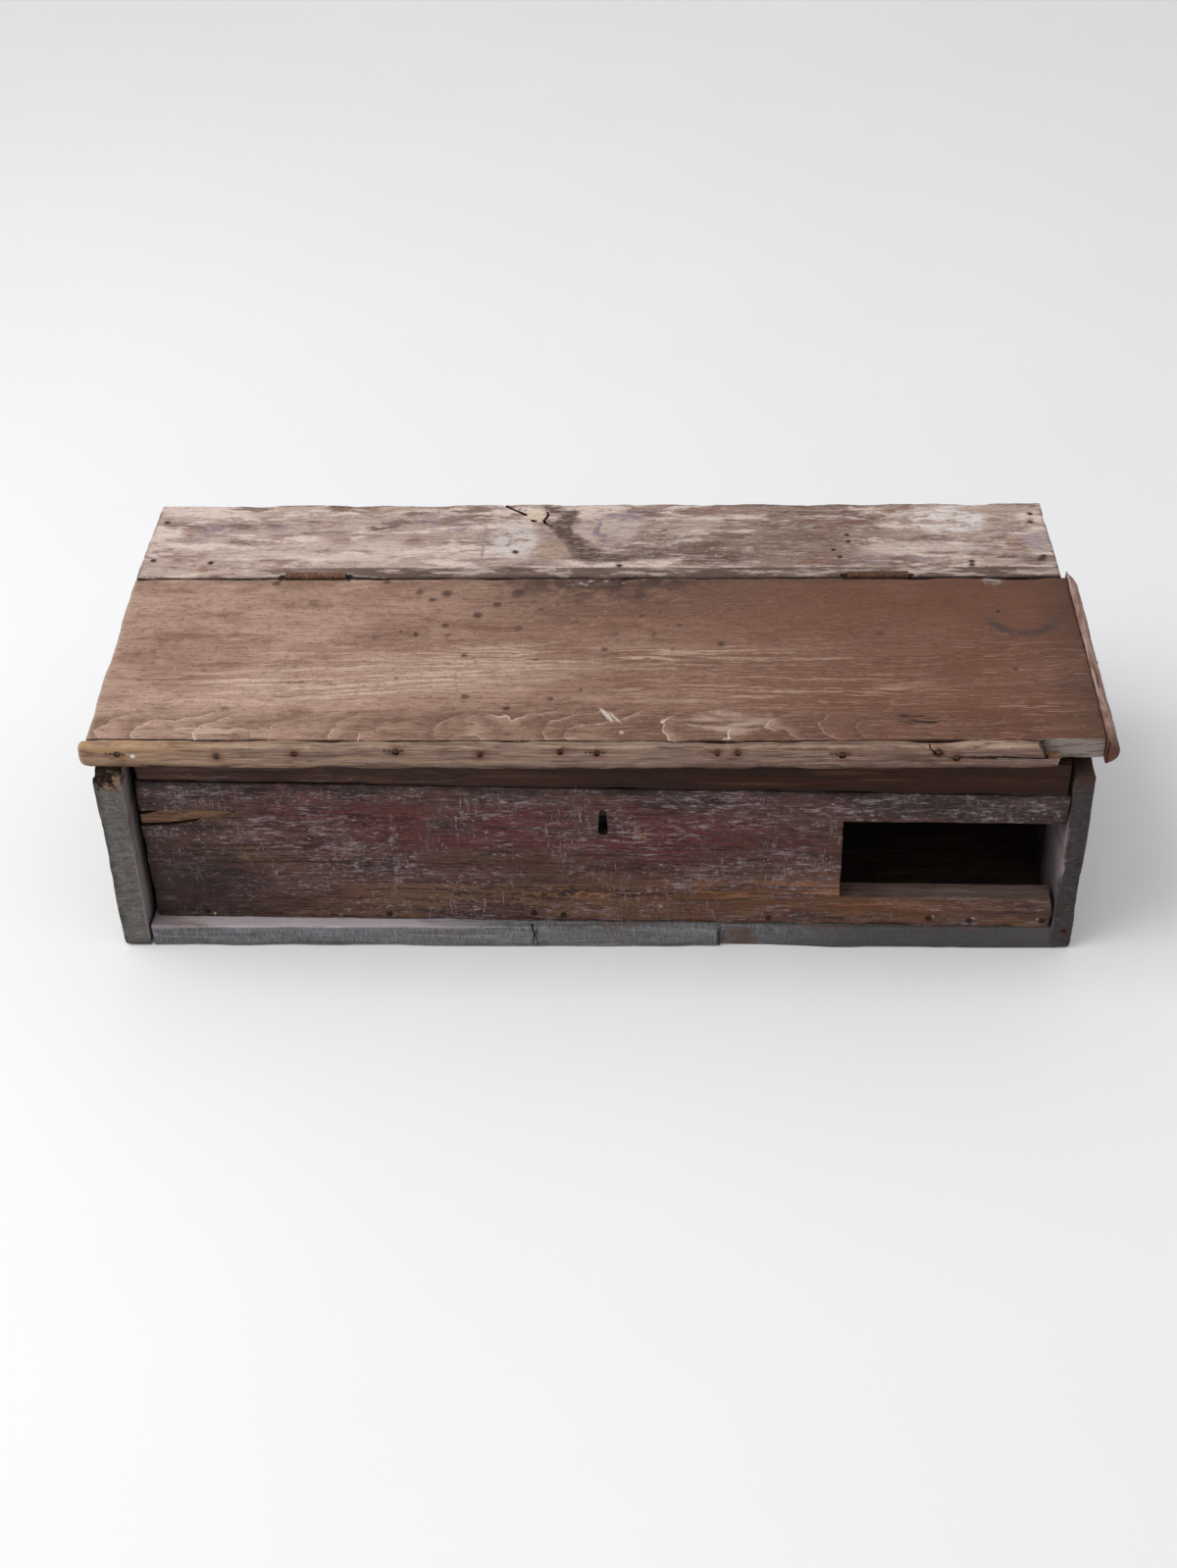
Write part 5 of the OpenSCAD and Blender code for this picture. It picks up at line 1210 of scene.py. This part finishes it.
# Back board, with a drying crack along its grain
back = {
    "low": (-457, 177.5, 0), "high": (457, 197.5, 242), "cell": 7, "ease": 1.8,
    "wear": {"reach": 7, "chips": (12, 0.6), "dents": (60, 1.0), "waves": (130, 0.6)},
    "crack": ((-462, 149), (-128, 156), 16, 1.0),  # from, to, how many steps and how rough
    "crackWidth": 2.2, "crackDepth": 6, "crackPast": 4,
}
backBoard = addBoard("backBoard", back, "y")
upper = raggedLine(*back["crack"], random.Random(9))
steps = len(upper) - 1
lower = [(x, z - back["crackWidth"] * (1 - i / steps)) for i, (x, z) in enumerate(upper)]
crackStart = back["high"][1] - back["crackDepth"]
crack = addSlab(upper + lower[-2::-1], "xz", crackStart, back["crackDepth"] + back["crackPast"])
cutAway(backBoard, [crack], slateBack, rotAndShadeWood)
bareInside(backBoard, forwards)
finishPiece(backBoard, onFloor, "carcass", "back_board")

print("boards done")

# A cut nail: one head on a short shank is modelled, then copied to each place, a little turned and tipped
nail = {"head": 2.5, "headHigh": 1.1, "crown": 0.5, "crownIn": 1.125, "shank": 1.1, "shankLong": 8,
        "sides": 14, "tip": 9, "turn": 3, "sunk": 0.9}  # tip in degrees, turn in radians
clearSelection()
bpy.ops.mesh.primitive_cylinder_add(
    vertices=nail["sides"], radius=nail["head"] * mm, depth=nail["headHigh"] * mm)
nailModel = bpy.context.object
nailModel.name = "nailModel"
pickOut(nailModel.data, "polygons", lambda face: face.normal.z < -0.9)
bpy.ops.object.mode_set(mode="EDIT")
bpy.ops.mesh.select_mode(type="FACE")
bpy.ops.mesh.inset(thickness=(nail["head"] - nail["shank"]) * mm)
bpy.ops.mesh.extrude_region_move(TRANSFORM_OT_translate={"value": (0, 0, -nail["shankLong"] * mm)})
bpy.ops.object.mode_set(mode="OBJECT")
pickOut(nailModel.data, "polygons", lambda face: face.normal.z > 0.9)
bpy.ops.object.mode_set(mode="EDIT")
bpy.ops.mesh.inset(thickness=nail["crownIn"] * mm)
bpy.ops.transform.translate(value=(0, 0, nail["crown"] * mm))
bpy.ops.object.mode_set(mode="OBJECT")


def addNailRow(name, places, facing, place, body, node, seed):
    dice = random.Random(seed)
    row = []
    for spot in places:
        copy = nailModel.copy()
        copy.data = nailModel.data.copy()
        bpy.context.collection.objects.link(copy)
        tipX = math.radians(dice.uniform(-nail["tip"], nail["tip"]))
        tipY = math.radians(dice.uniform(-nail["tip"], nail["tip"]))
        tip = Matrix.Rotation(tipX, 4, "X") @ Matrix.Rotation(tipY, 4, "Y")
        tip = tip @ Matrix.Rotation(dice.uniform(0, nail["turn"]), 4, "Z")
        head = (Vector(spot) - Vector(facing) * nail["sunk"]) * mm
        copy.matrix_world = Matrix.Translation(head) @ aimAt(facing) @ tip
        row.append(copy)
    nails = joinAll(row)
    nails.name = name
    finishPiece(nails, place, body, node, nailIron)


places = [(x, y, rear["nailZ"]) for x, y in rearNails]
addNailRow("nailsRearTop", places, upwards, onFloor, "carcass", "nails_rear_top", 21)
places = [(x, moulding["nailY"], z) for x, z in mouldingNails]
addNailRow("nailsMoulding", places, forwards, onLid, "lid", "nails_moulding", 22)
places = [(x, panel["nailY"], z) for x, z in panelNails]
addNailRow("nailsFrontPanel", places, forwards, onPanel, "carcass", "nails_front_panel", 23)
bpy.data.objects.remove(nailModel)

# Solids whose shape is right keep their mesh and take a finish
solidFinishes = {"inner_wood": shadedInnerWood, "hinge_iron": hingeIron, "nail_iron": nailIron,
                 "lock_iron": lockIron, "bolt_brass": boltBrass}
for part in frame["record"]["subparts"]:
    finish = solidFinishes.get(part["material_slot"])
    solid = frame["nodes"][part["node"]]
    if finish:
        solid.data.materials.clear()
        solid.data.materials.append(finish)
print("nails and ironwork done")

# Camera at the photographed angle, its place in metres
view = {"place": (0.0531, -1.6996, 1.3324), "pitch": 37.065, "yaw": -2.107, "roll": -1.225,
        "lens": 47.51, "sensor": 36}
pitch, yaw, roll = (math.radians(view[key]) for key in ("pitch", "yaw", "roll"))
ahead = Vector((math.sin(yaw) * math.cos(pitch), math.cos(yaw) * math.cos(pitch), -math.sin(pitch)))
right = Vector((math.cos(yaw), -math.sin(yaw), 0))
up = right.cross(ahead)
rightTurned = math.cos(roll) * right + math.sin(roll) * up
upTurned = math.cos(roll) * up - math.sin(roll) * right
clearSelection()
bpy.ops.object.camera_add()
camera = bpy.context.object
turned = Matrix((rightTurned, upTurned, -ahead)).transposed().to_4x4()
camera.matrix_world = Matrix.Translation(view["place"]) @ turned
camera.data.sensor_fit = "VERTICAL"
camera.data.sensor_height = view["sensor"]
camera.data.lens = view["lens"]
bpy.context.scene.camera = camera

# Pale floor and wall, one broad soft light above and to the left, and an evenly lit room, in metres
studio = {"floor": "#f3f3f4", "wall": "#eff0f3", "wallY": 3.6, "size": 14, "floorZ": -0.0005, "mottle": 0.02,
          "lampAt": (-1.9, -0.6, 2.9), "lampSize": 2.6, "lampPower": 66, "lampAim": (0, 0, 0.1),
          "room": 0.68, "rough": 0.8, "mottleScale": 2, "mottleEdge": (0.3, 0.7)}


# Matt paint, very slightly mottled in patches of about half a metre
def plainPaint(name, colour):
    paint = bpy.data.materials.new(name)
    paint.use_nodes = True
    tree = paint.node_tree
    flat = addNode(tree, "TexCoord")["Object"]
    noise = addNode(tree, "TexNoise", {"Vector": flat, "Scale": studio["mottleScale"], "Detail": 4})[0]
    start, end = studio["mottleEdge"]
    tone = addNode(tree, "MapRange", {0: noise, 1: start, 2: end, 3: 1 - studio["mottle"], 4: 1})[0]
    tint = {0: 1, 6: linearOf(colour), 7: tone}
    shade = addNode(tree, "Mix", tint, data_type="RGBA", blend_type="MULTIPLY")[2]
    shader = tree.nodes["Principled BSDF"]
    tree.links.new(shade, shader.inputs["Base Color"])
    shader.inputs["Roughness"].default_value = studio["rough"]
    return paint


clearSelection()
bpy.ops.mesh.primitive_plane_add(size=studio["size"], location=(0, 0, studio["floorZ"]))
floor = bpy.context.object
floor.name = "floor"
floor.data.materials.append(plainPaint("paleFloorPaint", studio["floor"]))
wallPlace = (0, studio["wallY"], studio["size"] / 2)
bpy.ops.mesh.primitive_plane_add(size=studio["size"], location=wallPlace, rotation=(math.pi / 2, 0, 0))
wall = bpy.context.object
wall.name = "wall"
wall.data.materials.append(plainPaint("paleWallPaint", studio["wall"]))
clearSelection()
bpy.ops.object.light_add(type="AREA", location=studio["lampAt"])
lamp = bpy.context.object
lamp.data.size = studio["lampSize"]
lamp.data.energy = studio["lampPower"]
lamp.rotation_euler = (Vector(studio["lampAim"]) - lamp.location).to_track_quat("-Z", "Y").to_euler()
world = bpy.data.worlds.new("room")
bpy.context.scene.world = world
world.use_nodes = True
world.node_tree.nodes["Background"].inputs["Color"].default_value = (1, 1, 1, 1)
world.node_tree.nodes["Background"].inputs["Strength"].default_value = studio["room"]
bpy.context.scene.view_settings.view_transform = "Standard"
